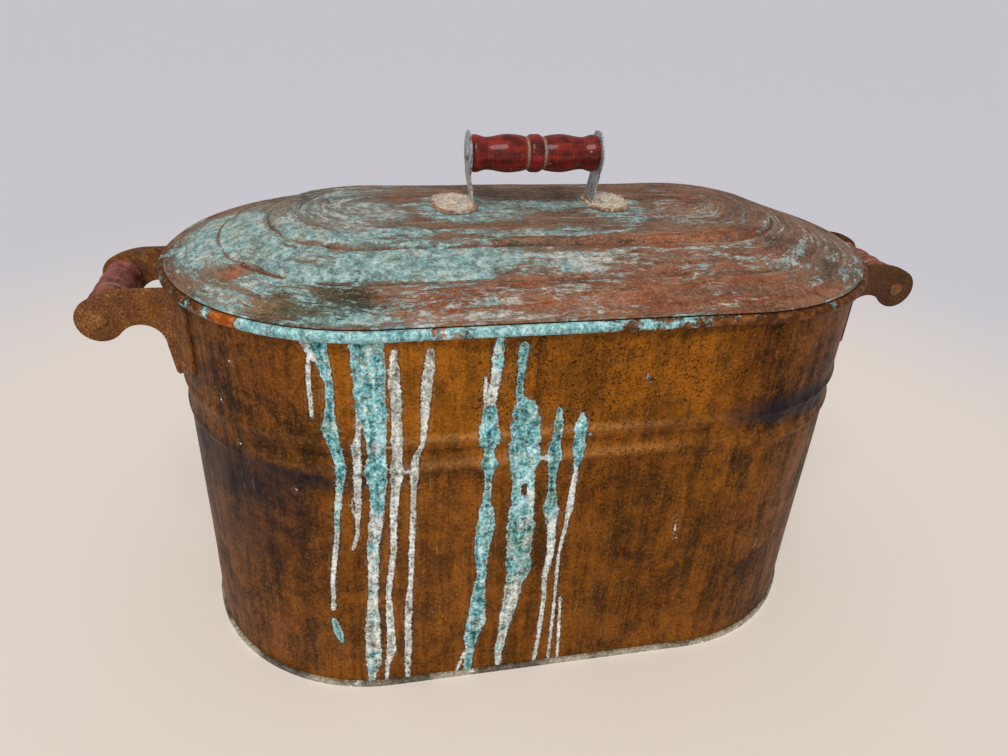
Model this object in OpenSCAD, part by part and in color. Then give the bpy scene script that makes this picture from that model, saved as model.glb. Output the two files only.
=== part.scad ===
// Oval copper wash boiler with a loose stepped lid.
// Origin: centre of the base, on the surface that the boiler stands on.
// +X runs along the boiler towards the right handle, +Y to the back, +Z up.

/* [Tub] */
// Length over the walls, without the rim
tub_length = 580; // [500:1:660]
// Width over the walls, without the rim
tub_width = 310; // [270:1:350]
// Height from the ground to the top of the rim
tub_height = 343; // [300:1:400]
// Thickness of every copper sheet
sheet = 0.6; // [0.5:0.05:0.8]
// Outside diameter of the wired rim
rim_d = 8; // [7:0.1:10]
// Width of the lap that joins the two wall sheets at each end
lap_w = 10; // [6:1:16]

/* [Bottom] */
// Height of the double seam round the foot
seam_h = 5.5; // [4.5:0.1:8]
// Height of the bottom panel over the ground
bottom_rise = 2; // [1.5:0.1:3]
// Width of the flat ring, inside the wall, that the boiler stands on
foot_ring_w = 4; // [3:0.5:8]

/* [Bead] */
// Distance between the two ridges of the bead
bead_pitch = 26; // [23:0.5:32]
// Half the width of a ridge, at its foot
ridge_half_w = 5.5; // [4:0.5:6.5]
// How far a ridge stands out from the wall
ridge_out = 1.7; // [1:0.1:2.5]
// How far the groove between the ridges goes in
groove_in = 1.2; // [0.5:0.1:1.5]
// Gap between the feet of the ears and the upper ridge
bead_gap = 0.3; // [0:0.1:4]

/* [Ears] */
// Distance between the middles of a pair of ears
ear_pair_width = 90; // [84:1:110]
// Thickness of an ear
ear_t = 2.5; // [2:0.1:3]
// Distance from the wall's end to the grip's axis
ear_reach = 47.5; // [42:0.5:56]
// Radius of the round lobe that holds the grip's rod
lobe_r = 17.5; // [15:0.5:19]
// Radius of the shoulder over the lobe
shoulder_r = 60; // [40:1:90]
// Width of an ear's leg where it leaves the arch
leg_w = 9.5; // [7:0.5:13]
// How much narrower the leg is at its foot
leg_taper = 3; // [1:0.5:4]
// Height of the flange that is riveted to the wall
flange_h = 73; // [66:1:80]
// Width of the flange, from the web outwards
flange_w = 34; // [28:1:38]
// Radius of the flange's outer corners
flange_corner_r = 9; // [4:0.5:11]
// Slope of the flange's lower edge, in degrees: it rises away from the web
flange_slope = 23; // [10:1:28]
// Gap between the rim and the top of the ears
ear_rim_gap = 3.5; // [2:0.5:6]

/* [Side grips] */
// Depth of the grips' axes below the top of the rim
grip_drop = 35.5; // [33:0.5:42]
// Largest diameter of a side grip
side_grip_d = 29.5; // [26:0.5:32]
// Diameter of a side grip at its two necks
side_neck_d = 26; // [22:0.5:27.5]
// Diameter of the rods in the side grips
side_rod_d = 6; // [5:0.1:7]
// Diameter of the rods' heads
side_rod_head_d = 12; // [9:0.5:14]
// Height of the rods' heads
side_rod_head_h = 2; // [1.5:0.1:3]
// Depth of the shoulders on both sides of a grip's middle bead
shoulder_in = 1.6; // [0.8:0.1:2.4]
// Depth of the grooves in those shoulders
grip_groove_in = 0.5; // [0.2:0.1:1]
// How much a grip's ends are rounded
grip_end_round = 1.5; // [0.5:0.1:2.5]

/* [Ear rivets] */
// Diameter of the shanks
ear_rivet_d = 4; // [3:0.1:5]
// Diameter of the heads
ear_rivet_head_d = 8; // [7:0.1:9]
// Height of the heads
ear_rivet_head_h = 1.6; // [1:0.1:2.4]
// Distance of the rivets from the middle of the web
ear_rivet_out = 15; // [12:0.5:17]
// Distance between two rivets
ear_rivet_pitch = 22.5; // [18:0.5:25]
// How far the middle rivet is above the middle of the flange
ear_rivet_up = 2; // [0:0.5:4]

/* [Lid] */
// How far the lid's edge reaches past the wall
lid_overhang = 2.5; // [1.5:0.1:4]
// Distance from the wall's outside to the outer step
outer_step_in = 40; // [32:1:48]
// Distance from the wall's outside to the inner step
inner_step_in = 78; // [66:1:90]
// Rise of the outer band
outer_band_rise = 13.7; // [8:0.1:20]
// Rise of the inner band
inner_band_rise = 12; // [8:0.1:18]
// Rise of the step round the middle panel
panel_step_rise = 3.6; // [2:0.1:6]
// Width of the step round the middle panel
panel_step_w = 5; // [4:0.5:8]
// Rise of the middle panel from its edge to its middle
crown_rise = 3.4; // [1:0.1:6]
// How rounded the bands are, 0 is straight
band_round = 0.35; // [0:0.05:0.6]
// Depth of the skirt below the rim
skirt_depth = 22; // [15:1:30]
// Gap between the skirt and the wall
skirt_gap = 1.5; // [1.4:0.1:3]

/* [Lid handle] */
// Length of the lid grip
lid_grip_l = 105; // [90:1:120]
// Largest diameter of the lid grip
lid_grip_d = 30; // [26:0.5:32]
// Diameter of the lid grip at its two necks
lid_neck_d = 25.5; // [22:0.5:27.5]
// Height of the lid grip's axis over the lid
lid_grip_h = 41.5; // [38:0.5:50]
// Diameter of the rod in the lid grip
lid_rod_d = 5; // [4:0.1:6]
// Diameter of the rod's heads
lid_rod_head_d = 11; // [8:0.5:13]
// Height of the rod's heads
lid_rod_head_h = 2.4; // [1.5:0.1:3.5]
// Thickness of the straps
strap_t = 1.5; // [1.2:0.1:2]
// Width of the straps' legs
strap_w = 23; // [18:0.5:26]
// Diameter of the round plates at the ends of the grip
end_plate_d = 36; // [33:0.5:38]
// Width of the straps' oval feet, along the lid
strap_foot_w = 37; // [30:0.5:40]
// How much longer those feet are, across the lid
strap_foot_longer = 17; // [2:0.5:24]
// Distance from the foot of a leg out to the middle of its oval foot
strap_foot_out = 15.5; // [12:0.5:20]
// How far a leg leans in between the end plate and its foot
strap_lean = 3.5; // [1:0.5:6]
// Diameter of the rivets' shanks
lid_rivet_d = 4.5; // [4:0.1:6]
// Diameter of the rivets' heads
lid_rivet_head_d = 10; // [8:0.5:12]
// Height of the rivets' heads
lid_rivet_head_h = 2.2; // [1.5:0.1:3]
// Thickness of the washers under the lid
burr_t = 0.9; // [0.6:0.1:1.5]

/* [Fits] */
// Gap between sheets folded over each other
fold_gap = 0.12; // [0.1:0.01:0.15]
// Gap between a piece and the curved sheet that it is riveted to
seat_gap = 0.1; // [0.05:0.05:0.2]
// Gap between the lid's edge and the rim that it rests on
lid_seat_gap = 0.3; // [0.2:0.05:0.5]
// Radial gap between a rivet or a rod's end and its hole
hole_gap = 0.05; // [0.02:0.01:0.1]
// Radial gap between a grip and its rod
grip_bore_gap = 0.06; // [0.03:0.01:0.1]
// Gap between each end of a grip and the ear or plate beside it
grip_end_gap = 0.5; // [0.3:0.1:1]

/* [Hidden] */
$fn = 96;

copper = [0.62, 0.33, 0.17];
verdigris = [0.40, 0.55, 0.48];
rusty_steel = [0.45, 0.27, 0.15];
grey_steel = [0.62, 0.62, 0.58];
faded_red = [0.45, 0.22, 0.19];
varnished_red = [0.36, 0.07, 0.04];

// A long side is straight for twice the spine, and an end is a half circle of the radius end_r.
end_r = tub_width / 2;
spine = (tub_length - tub_width) / 2;

// Rim
rim_r = rim_d / 2;
rim_z = tub_height - rim_r;
rim_x = end_r - sheet + rim_r;
curl_slit = 3 * fold_gap;

// Ears, in the back right quarter
ear_y = ear_pair_width / 2;
ear_top_z = tub_height - rim_d - ear_rim_gap;
foot_z = ear_top_z - flange_h;
grip_x = tub_length / 2 + ear_reach;
grip_z = tub_height - grip_drop;
wall_at_web_x = spine + sqrt(pow(end_r, 2) - pow(ear_y, 2));
leg_x = wall_at_web_x + leg_w;
lobe_to_arch_deg = 220;
arch_r = (grip_x - leg_x + lobe_r * cos(lobe_to_arch_deg)) / (1 - cos(lobe_to_arch_deg));
arch_c = [grip_x, grip_z] + (lobe_r + arch_r) * [cos(lobe_to_arch_deg), sin(lobe_to_arch_deg)];
shoulder_c = [
    grip_x - sqrt(pow(shoulder_r - lobe_r, 2) - pow(grip_z + shoulder_r - ear_top_z, 2)),
    ear_top_z - shoulder_r
];
rivet_y = ear_y + ear_rivet_out;
rivet_deg = asin(rivet_y / end_r);
rivet_z = [for (i = [-1:1]) foot_z + flange_h / 2 + ear_rivet_up + i * ear_rivet_pitch];
clinch_less = 1;
clinch_h = 1;

// Bead
bead_z = foot_z - bead_gap - ridge_half_w - bead_pitch / 2;
groove_half_w = bead_pitch / 2 - ridge_half_w;

// Lap strip: the width of the root that it grows from, and its ends' distances from the seam and the rim
root_w = 4;
lap_seam_gap = 3;
lap_rim_gap = 1;

// Bottom
fold = sheet + fold_gap;
seam_out = 3 * fold;

// Side grips
side_grip_half = ear_y - ear_t / 2 - grip_end_gap;

// Lid
brim_r = end_r + lid_overhang;
skirt_r = end_r - sheet - skirt_gap;
fold_r = skirt_r - 1;
brim_z = tub_height + lid_seat_gap;
brim_top_z = brim_z + 2 * fold + sheet;
outer_step_r = end_r - outer_step_in;
inner_step_r = end_r - inner_step_in;
panel_r = inner_step_r - panel_step_w;
outer_step_z = brim_top_z + outer_band_rise;
inner_step_z = outer_step_z + inner_band_rise;
panel_edge_z = inner_step_z + panel_step_rise;
lid_top_z = panel_edge_z + crown_rise;

// Lid handle
strap_z = lid_top_z + seat_gap;
lid_grip_z = lid_top_z + lid_grip_h;
plate_x = lid_grip_l / 2 + grip_end_gap;
leg_foot_x = plate_x - strap_lean;
strap_foot_x = leg_foot_x + strap_foot_out;
leg_top_z = lid_grip_z - end_plate_d / 2 + strap_t * 2 / 3;
burr_z = lid_top_z - sheet - seat_gap - burr_t;
upset_w = 1.25;
upset_h = 1;

// How far shapes of one piece reach into each other, and the length of the cuts that make round holes
merge = 0.1;
hole_cut = 20;

// Points of an arc, from angle a to angle b, in n steps
function arc(c, r, a, b, n) =
    [for (i = [0:n]) c + r * [cos(a + (b - a) * i / n), sin(a + (b - a) * i / n)]];

// A smooth bump, 1 in its middle and 0 at and past its feet
function bump(d, half_w) = abs(d) >= half_w ? 0 : (1 + cos(180 * d / half_w)) / 2;

// How far the bead moves the wall outwards at the height z
function bead(z) =
    ridge_out * bump(z - bead_z - bead_pitch / 2, ridge_half_w)
    + ridge_out * bump(z - bead_z + bead_pitch / 2, ridge_half_w)
    - groove_in * bump(z - bead_z, groove_half_w);

// Heights at which a wall's outline needs a point: the ridges share their feet with the groove
function wall_heights(low, high) = concat(
    [low],
    [for (i = [-4:4]) bead_z - bead_pitch / 2 + ridge_half_w * i / 4],
    [for (i = [-4:4]) bead_z + groove_half_w * i / 5],
    [for (i = [-4:4]) bead_z + bead_pitch / 2 + ridge_half_w * i / 4],
    [high]
);

// Cross-section of a wall sheet; its inner face is `off` outside the real inner face
module wall_band(low, high, off, t) {
    heights = wall_heights(low, high);
    n = len(heights) - 1;
    inner_r = end_r - sheet + off;
    polygon(concat(
        [for (z = heights) [inner_r + t + bead(z), z]],
        [for (i = [0:n]) [inner_r + bead(heights[n - i]), heights[n - i]]]
    ));
}

// Cross-section of a wall: rim roll, wall, and the hook that the double seam holds
module wall_section() {
    difference() {
        translate([rim_x, rim_z]) circle(r = rim_r);
        translate([rim_x, rim_z]) circle(r = rim_r - sheet);
        translate([end_r, rim_z - rim_r]) square([curl_slit, rim_r]);
    }
    wall_band(fold, rim_z, 0, sheet);
    translate([end_r - sheet, fold]) square([sheet + 2 * fold, sheet]);
    translate([end_r + fold_gap + fold, fold]) square([sheet, seam_h - 2 * fold]);
}

// Cross-section of the bottom's edge, from the panel out round the walls' hook
module bottom_section() {
    flat_r = end_r - sheet - foot_ring_w;
    translate([flat_r - bottom_rise, 0]) polygon([
        [-1, bottom_rise], [0, bottom_rise], [bottom_rise, 0], [bottom_rise + 1, 0],
        [bottom_rise + 1, sheet], [bottom_rise, sheet], [0, bottom_rise + sheet], [-1, bottom_rise + sheet]
    ]);
    translate([flat_r, 0]) square([end_r + seam_out - flat_r, sheet]);
    translate([end_r + seam_out - sheet, 0]) square([sheet, seam_h]);
    translate([end_r + fold_gap, seam_h - sheet]) square([seam_out - fold_gap, sheet]);
    translate([end_r + fold_gap, 2 * fold + fold_gap]) square([sheet, seam_h - 2 * fold - fold_gap]);
}

// Sweeps a cross-section along the front half of the oval
module sweep_front() {
    translate([spine, 0, 0]) rotate([0, 0, -90]) rotate_extrude(angle = 90) children();
    translate([-spine, 0, 0]) rotate([0, 0, 180]) rotate_extrude(angle = 90) children();
    rotate([90, 0, -90]) linear_extrude(2 * spine, center = true) children();
}

// Sweeps a cross-section round the whole oval
module sweep_all() {
    for (turn = [0, 180]) rotate([0, 0, turn]) {
        translate([spine, 0, 0]) rotate([0, 0, -90]) rotate_extrude(angle = 180) children();
        rotate([90, 0, 90]) linear_extrude(2 * spine, center = true) children();
    }
}

// A flat oval plate of the end radius r
module oval_plate(r, h) {
    linear_extrude(h) {
        for (side = [-1, 1]) translate([side * spine, 0]) circle(r = r);
        square([2 * spine, 2 * r], center = true);
    }
}

// Puts a piece that is drawn in the back right quarter into another quarter
module in_quarter(x_side, y_side) {
    mirror([x_side < 0 ? 1 : 0, 0, 0]) mirror([0, y_side < 0 ? 1 : 0, 0]) children();
}

// Places children at each rivet of an ear, with +Z pointing out of the wall
module at_rivets() {
    for (z = rivet_z)
        translate([spine, 0, z]) rotate([0, 0, rivet_deg]) rotate([0, 90, 0]) children();
}

// The rivet holes of one ear, through everything at the wall
module rivet_holes() {
    at_rivets() translate([0, 0, end_r - hole_cut / 2])
        cylinder(d = ear_rivet_d + 2 * hole_gap, h = hole_cut);
}

// Extrudes a cross-section along Y at the right end of the tub, from y = low to y = high
module across_end(low, high) {
    translate([spine, low, 0]) rotate([90, 0, 0]) mirror([0, 0, 1]) linear_extrude(high - low) children();
}

// The right end of the front sheet: a root that joins the wall to the strip that laps over the back sheet
module lap_end() {
    low = seam_h + lap_seam_gap;
    high = rim_z - rim_r - lap_rim_gap;
    root_in = root_w / 4;
    across_end(-root_w, -root_w / 10) wall_band(low + root_in, high - root_in, sheet / 2, fold + sheet / 4);
    across_end(-root_w / 2, lap_w) wall_band(low, high, fold, sheet);
}

module front_wall() {
    color(copper) difference() {
        union() {
            sweep_front() wall_section();
            lap_end();
            mirror([1, 0, 0]) lap_end();
        }
        for (x_side = [-1, 1]) in_quarter(x_side, -1) rivet_holes();
    }
}

module back_wall() {
    color(copper) difference() {
        rotate([0, 0, 180]) sweep_front() wall_section();
        for (x_side = [-1, 1]) in_quarter(x_side, 1) rivet_holes();
    }
}

module bottom_panel() {
    color(copper) {
        translate([0, 0, bottom_rise]) oval_plate(end_r - sheet - foot_ring_w - bottom_rise, sheet);
        sweep_all() bottom_section();
    }
}

module rim_wire() {
    color(grey_steel) sweep_all() translate([rim_x, rim_z]) circle(r = rim_r - sheet - fold_gap);
}

// Outline of an ear's web, seen from the front
module web_outline() {
    shoulder_end = atan2(grip_z - shoulder_c[1], grip_x - shoulder_c[0]);
    foot_corner = 4;
    web_foot_x = leg_x - leg_taper;
    under_wall_x = wall_at_web_x - 4;
    polygon(concat(
        [[under_wall_x, ear_top_z]],
        arc(shoulder_c, shoulder_r, 90, shoulder_end, 8),
        arc([grip_x, grip_z], lobe_r, shoulder_end, lobe_to_arch_deg - 360, 30),
        arc(arch_c, arch_r, lobe_to_arch_deg - 180, 180, 20),
        arc([web_foot_x - foot_corner, foot_z + foot_corner], foot_corner, 0, -90, 5),
        [[under_wall_x, foot_z]]
    ));
}

// Outline of an ear's flange, seen from the end
module flange_outline() {
    root_y = ear_y - ear_t / 2;
    corner_y = ear_y + flange_w - flange_corner_r;
    low_corner_z = foot_z + (corner_y - root_y) * tan(flange_slope) + flange_corner_r / cos(flange_slope);
    polygon(concat(
        [[root_y, foot_z]],
        arc([corner_y, low_corner_z], flange_corner_r, flange_slope - 90, 0, 8),
        arc([corner_y, ear_top_z - flange_corner_r], flange_corner_r, 0, 90, 8),
        [[root_y, ear_top_z]]
    ));
}

// One ear, in the back right quarter
module ear() {
    seat_r = end_r + seat_gap;
    color(rusty_steel) difference() {
        union() {
            translate([0, ear_y + ear_t / 2, 0]) rotate([90, 0, 0]) linear_extrude(ear_t) web_outline();
            intersection() {
                translate([spine, 0, 0]) cylinder(r = seat_r + ear_t, h = tub_height);
                translate([spine, 0, 0]) rotate([90, 0, 90]) linear_extrude(2 * end_r) flange_outline();
            }
        }
        translate([spine, 0, 0]) cylinder(r = seat_r, h = tub_height);
        translate([grip_x, ear_y, grip_z]) rotate([90, 0, 0])
            cylinder(d = side_rod_d + 2 * hole_gap, h = 3 * ear_t, center = true);
        rivet_holes();
    }
}

// A round head that is domed at the top
module head(d, h) {
    rotate_extrude() polygon(concat(
        [[0, 0], [d / 2, 0]],
        [for (i = [0:6]) [d / 2 * cos(15 * i), h * (0.3 + 0.7 * sin(15 * i))]]
    ));
}

// The three rivets of one ear, in the back right quarter
module ear_rivets() {
    out_r = end_r + seat_gap + ear_t;
    in_r = end_r - sheet - seat_gap;
    color(rusty_steel) at_rivets() {
        translate([0, 0, out_r]) head(ear_rivet_head_d, ear_rivet_head_h);
        translate([0, 0, in_r - merge]) cylinder(d = ear_rivet_d, h = out_r - in_r + 2 * merge);
        translate([0, 0, in_r]) mirror([0, 0, 1]) head(ear_rivet_head_d - clinch_less, clinch_h);
    }
}

// Radius of a turned grip at the distance u from its middle, for the half length l
function grip_radius(u, l, r, neck_r) =
    let (
        bead_half = l * 0.105,
        groove_end = l * 0.16,
        bulge = l * 0.42,
        neck = l * 0.76,
        end_bead = l * 0.93,
        end_r = r - grip_end_round / 5
    )
    u < bead_half ? r - shoulder_in * pow(u / bead_half, 4)
    : u < groove_end ? r - shoulder_in - grip_groove_in * sin(180 * (u - bead_half) / (groove_end - bead_half))
    : u < bulge ? r - shoulder_in * pow((bulge - u) / (bulge - groove_end), 2)
    : u < neck ? neck_r + (r - neck_r) * (1 + cos(180 * (u - bulge) / (neck - bulge))) / 2
    : u < end_bead ? neck_r + (end_r - neck_r) * (1 - cos(180 * (u - neck) / (end_bead - neck))) / 2
    : end_r - grip_end_round * pow((u - end_bead) / (l - end_bead), 2);

// A turned grip along Z, with its bore
module turned_grip(l, r, neck_r, bore_d) {
    steps = 56;
    rotate_extrude() difference() {
        polygon(concat(
            [[0, -l]],
            [for (i = [-steps:steps]) [grip_radius(abs(i) * l / steps, l, r, neck_r), i * l / steps]],
            [[0, l]]
        ));
        translate([0, -2 * l]) square([bore_d / 2, 4 * l]);
    }
}

// A rod along Z with a head on each end; the heads' inner faces are `grip` apart
module headed_rod(d, grip, head_d, head_h) {
    cylinder(d = d, h = grip + 2 * merge, center = true);
    for (end = [0, 1]) mirror([0, 0, end]) translate([0, 0, grip / 2]) head(head_d, head_h);
}

// The right side grip
module side_grip() {
    color(faded_red) translate([grip_x, 0, grip_z]) rotate([90, 0, 0])
        turned_grip(side_grip_half, side_grip_d / 2, side_neck_d / 2, side_rod_d + 2 * grip_bore_gap);
}

// The right side rod
module side_rod() {
    color(rusty_steel) translate([grip_x, 0, grip_z]) rotate([90, 0, 0])
        headed_rod(side_rod_d, ear_pair_width + ear_t + 2 * hole_gap, side_rod_head_d, side_rod_head_h);
}

// Height of a band of the lid; s goes from 0 at its outer edge to 1 at its inner edge
function band_z(z, rise, s) = z + rise * (s + band_round * s * (1 - s));

// The lid's top line, from the skirt's fold in to the middle
lid_line = concat(
    [for (i = [0:8]) [fold_r + (outer_step_r - fold_r) * i / 8,
                      band_z(brim_top_z, outer_band_rise, i / 8)]],
    [for (i = [1:8]) [outer_step_r + (inner_step_r - outer_step_r) * i / 8,
                      band_z(outer_step_z, inner_band_rise, i / 8)]],
    [for (i = [1:4]) [inner_step_r - panel_step_w * i / 4,
                      inner_step_z + panel_step_rise * sin(22.5 * i)]],
    [for (i = [1:8]) [panel_r * (1 - i / 8), lid_top_z - crown_rise * pow(1 - i / 8, 2)]]
);

// Cross-section of the lid: the stepped sheet, and the edge folded under the skirt's flange
module lid_section() {
    n = len(lid_line) - 1;
    polygon(concat(
        [[brim_r, brim_top_z]],
        lid_line,
        [for (i = [0:n]) lid_line[n - i] - [0, sheet]],
        [[brim_r, brim_top_z - sheet]]
    ));
    translate([brim_r - sheet, brim_z]) square([sheet, brim_top_z - brim_z]);
    translate([skirt_r + fold_gap, brim_z]) square([brim_r - skirt_r - fold_gap, sheet]);
}

module lid_panel() {
    color(verdigris) difference() {
        sweep_all() lid_section();
        for (side = [-1, 1]) translate([side * strap_foot_x, 0, lid_top_z - hole_cut / 2])
            cylinder(d = lid_rivet_d + 2 * hole_gap, h = hole_cut);
    }
}

module lid_skirt() {
    color(copper) sweep_all() {
        translate([skirt_r - sheet, tub_height - skirt_depth])
            square([sheet, brim_z + fold + sheet - tub_height + skirt_depth]);
        translate([skirt_r - sheet, brim_z + fold]) square([brim_r - fold - skirt_r + sheet, sheet]);
    }
}

// Outline of a strap's oval foot
module strap_foot() {
    for (end = [-1, 1]) translate([0, end * strap_foot_longer / 2]) circle(d = strap_foot_w);
    square([strap_foot_w, strap_foot_longer], center = true);
}

// The right strap of the lid handle
module lid_strap() {
    color(grey_steel) difference() {
        union() {
            translate([0, strap_w / 2, 0]) rotate([90, 0, 0]) linear_extrude(strap_w) polygon([
                [plate_x, lid_grip_z], [plate_x, leg_top_z], [leg_foot_x, strap_z],
                [strap_foot_x, strap_z], [strap_foot_x, strap_z + strap_t],
                [leg_foot_x + strap_t, strap_z + strap_t], [plate_x + strap_t, leg_top_z],
                [plate_x + strap_t, lid_grip_z]
            ]);
            translate([plate_x, 0, lid_grip_z]) rotate([0, 90, 0]) cylinder(d = end_plate_d, h = strap_t);
            translate([strap_foot_x, 0, strap_z]) linear_extrude(strap_t) strap_foot();
        }
        translate([plate_x - hole_cut / 2, 0, lid_grip_z]) rotate([0, 90, 0])
            cylinder(d = lid_rod_d + 2 * hole_gap, h = hole_cut);
        translate([strap_foot_x, 0, strap_z - hole_cut / 2])
            cylinder(d = lid_rivet_d + 2 * hole_gap, h = hole_cut);
    }
}

module lid_grip() {
    color(varnished_red) translate([0, 0, lid_grip_z]) rotate([0, 90, 0])
        turned_grip(lid_grip_l / 2, lid_grip_d / 2, lid_neck_d / 2, lid_rod_d + 2 * grip_bore_gap);
}

module lid_grip_rod() {
    color(grey_steel) translate([0, 0, lid_grip_z]) rotate([0, 90, 0])
        headed_rod(lid_rod_d, 2 * (plate_x + strap_t + hole_gap), lid_rod_head_d, lid_rod_head_h);
}

module lid_strap_rivets() {
    top_z = strap_z + strap_t + hole_gap;
    low_z = burr_z - hole_gap;
    color(grey_steel) for (side = [-1, 1]) translate([side * strap_foot_x, 0, 0]) {
        translate([0, 0, top_z]) head(lid_rivet_head_d, lid_rivet_head_h);
        translate([0, 0, low_z - merge]) cylinder(d = lid_rivet_d, h = top_z - low_z + 2 * merge);
        translate([0, 0, low_z]) mirror([0, 0, 1]) head(lid_rivet_d + 2 * upset_w, upset_h);
    }
}

module lid_rivet_burrs() {
    color(copper) for (side = [-1, 1]) translate([side * strap_foot_x, 0, burr_z]) difference() {
        cylinder(d = lid_rivet_head_d, h = burr_t);
        translate([0, 0, -hole_cut / 2]) cylinder(d = lid_rivet_d + 2 * hole_gap, h = hole_cut);
    }
}

front_wall();
back_wall();
bottom_panel();
rim_wire();
in_quarter(-1, -1) ear();  // left_front_ear
in_quarter(-1, 1) ear();  // left_back_ear
in_quarter(1, -1) ear();  // right_front_ear
in_quarter(1, 1) ear();  // right_back_ear
in_quarter(-1, -1) ear_rivets();  // left_front_ear_rivets
in_quarter(-1, 1) ear_rivets();  // left_back_ear_rivets
in_quarter(1, -1) ear_rivets();  // right_front_ear_rivets
in_quarter(1, 1) ear_rivets();  // right_back_ear_rivets
in_quarter(-1, 1) side_grip();  // left_grip
side_grip();  // right_grip
in_quarter(-1, 1) side_rod();  // left_grip_rod
side_rod();  // right_grip_rod
lid_panel();
lid_skirt();
in_quarter(-1, 1) lid_strap();  // lid_left_strap
lid_strap();  // lid_right_strap
lid_grip();
lid_grip_rod();
lid_strap_rivets();
lid_rivet_burrs();
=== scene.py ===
"""Looks of an oval copper wash boiler with a loose stepped lid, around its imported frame.

Lengths are in metres, in the boiler's own frame: +X runs along the boiler towards the right
grip, +Y to the back and +Z up, with the origin on the floor under the middle. Places painted
on the sheets are in millimetres: (x, y) on the lid, and (distance round from the middle of the
front, height) on the wall.
"""

import logging
import math
from collections.abc import Callable, Sequence
from dataclasses import dataclass, field
from enum import Enum

import bmesh
import bpy
import numpy as np
from mathutils import Matrix, Vector, noise

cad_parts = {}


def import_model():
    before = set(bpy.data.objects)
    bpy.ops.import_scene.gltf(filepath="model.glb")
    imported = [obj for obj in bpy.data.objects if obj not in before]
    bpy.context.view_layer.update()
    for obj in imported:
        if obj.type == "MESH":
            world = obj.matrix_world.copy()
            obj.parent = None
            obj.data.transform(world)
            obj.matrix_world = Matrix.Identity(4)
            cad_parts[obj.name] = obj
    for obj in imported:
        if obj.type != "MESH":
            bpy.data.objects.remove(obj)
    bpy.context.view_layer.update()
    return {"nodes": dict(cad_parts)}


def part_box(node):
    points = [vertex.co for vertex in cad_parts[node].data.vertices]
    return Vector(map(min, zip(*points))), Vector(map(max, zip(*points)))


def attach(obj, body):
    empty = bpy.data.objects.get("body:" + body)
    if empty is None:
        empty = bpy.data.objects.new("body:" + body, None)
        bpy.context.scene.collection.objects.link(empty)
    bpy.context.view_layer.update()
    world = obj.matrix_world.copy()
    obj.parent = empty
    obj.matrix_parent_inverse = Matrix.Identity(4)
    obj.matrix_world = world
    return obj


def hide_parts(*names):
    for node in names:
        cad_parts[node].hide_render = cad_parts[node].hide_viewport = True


logging.basicConfig(level=logging.INFO, format="%(message)s")
log = logging.getLogger("boiler")

MM = 0.001
SMOOTH_DEG = 38.0
Point = tuple[float, float]


def paint(code: str) -> tuple[float, float, float, float]:
    """The linear colour of a hex code.

    Args:
        code: Six hex digits, as on a paint card.

    Returns:
        Red, green, blue and alpha.
    """
    parts = [int(code[i : i + 2], 16) / 255 for i in (0, 2, 4)]
    linear = [p / 12.92 if p <= 0.04045 else ((p + 0.055) / 1.055) ** 2.4 for p in parts]
    return (linear[0], linear[1], linear[2], 1.0)


class Plug(Enum):
    """Socket types of a shader node group."""

    NUMBER = "NodeSocketFloat"
    COLOUR = "NodeSocketColor"
    VECTOR = "NodeSocketVector"


# ---------------------------------------------------------------------------
# Shader graphs
# ---------------------------------------------------------------------------


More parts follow.
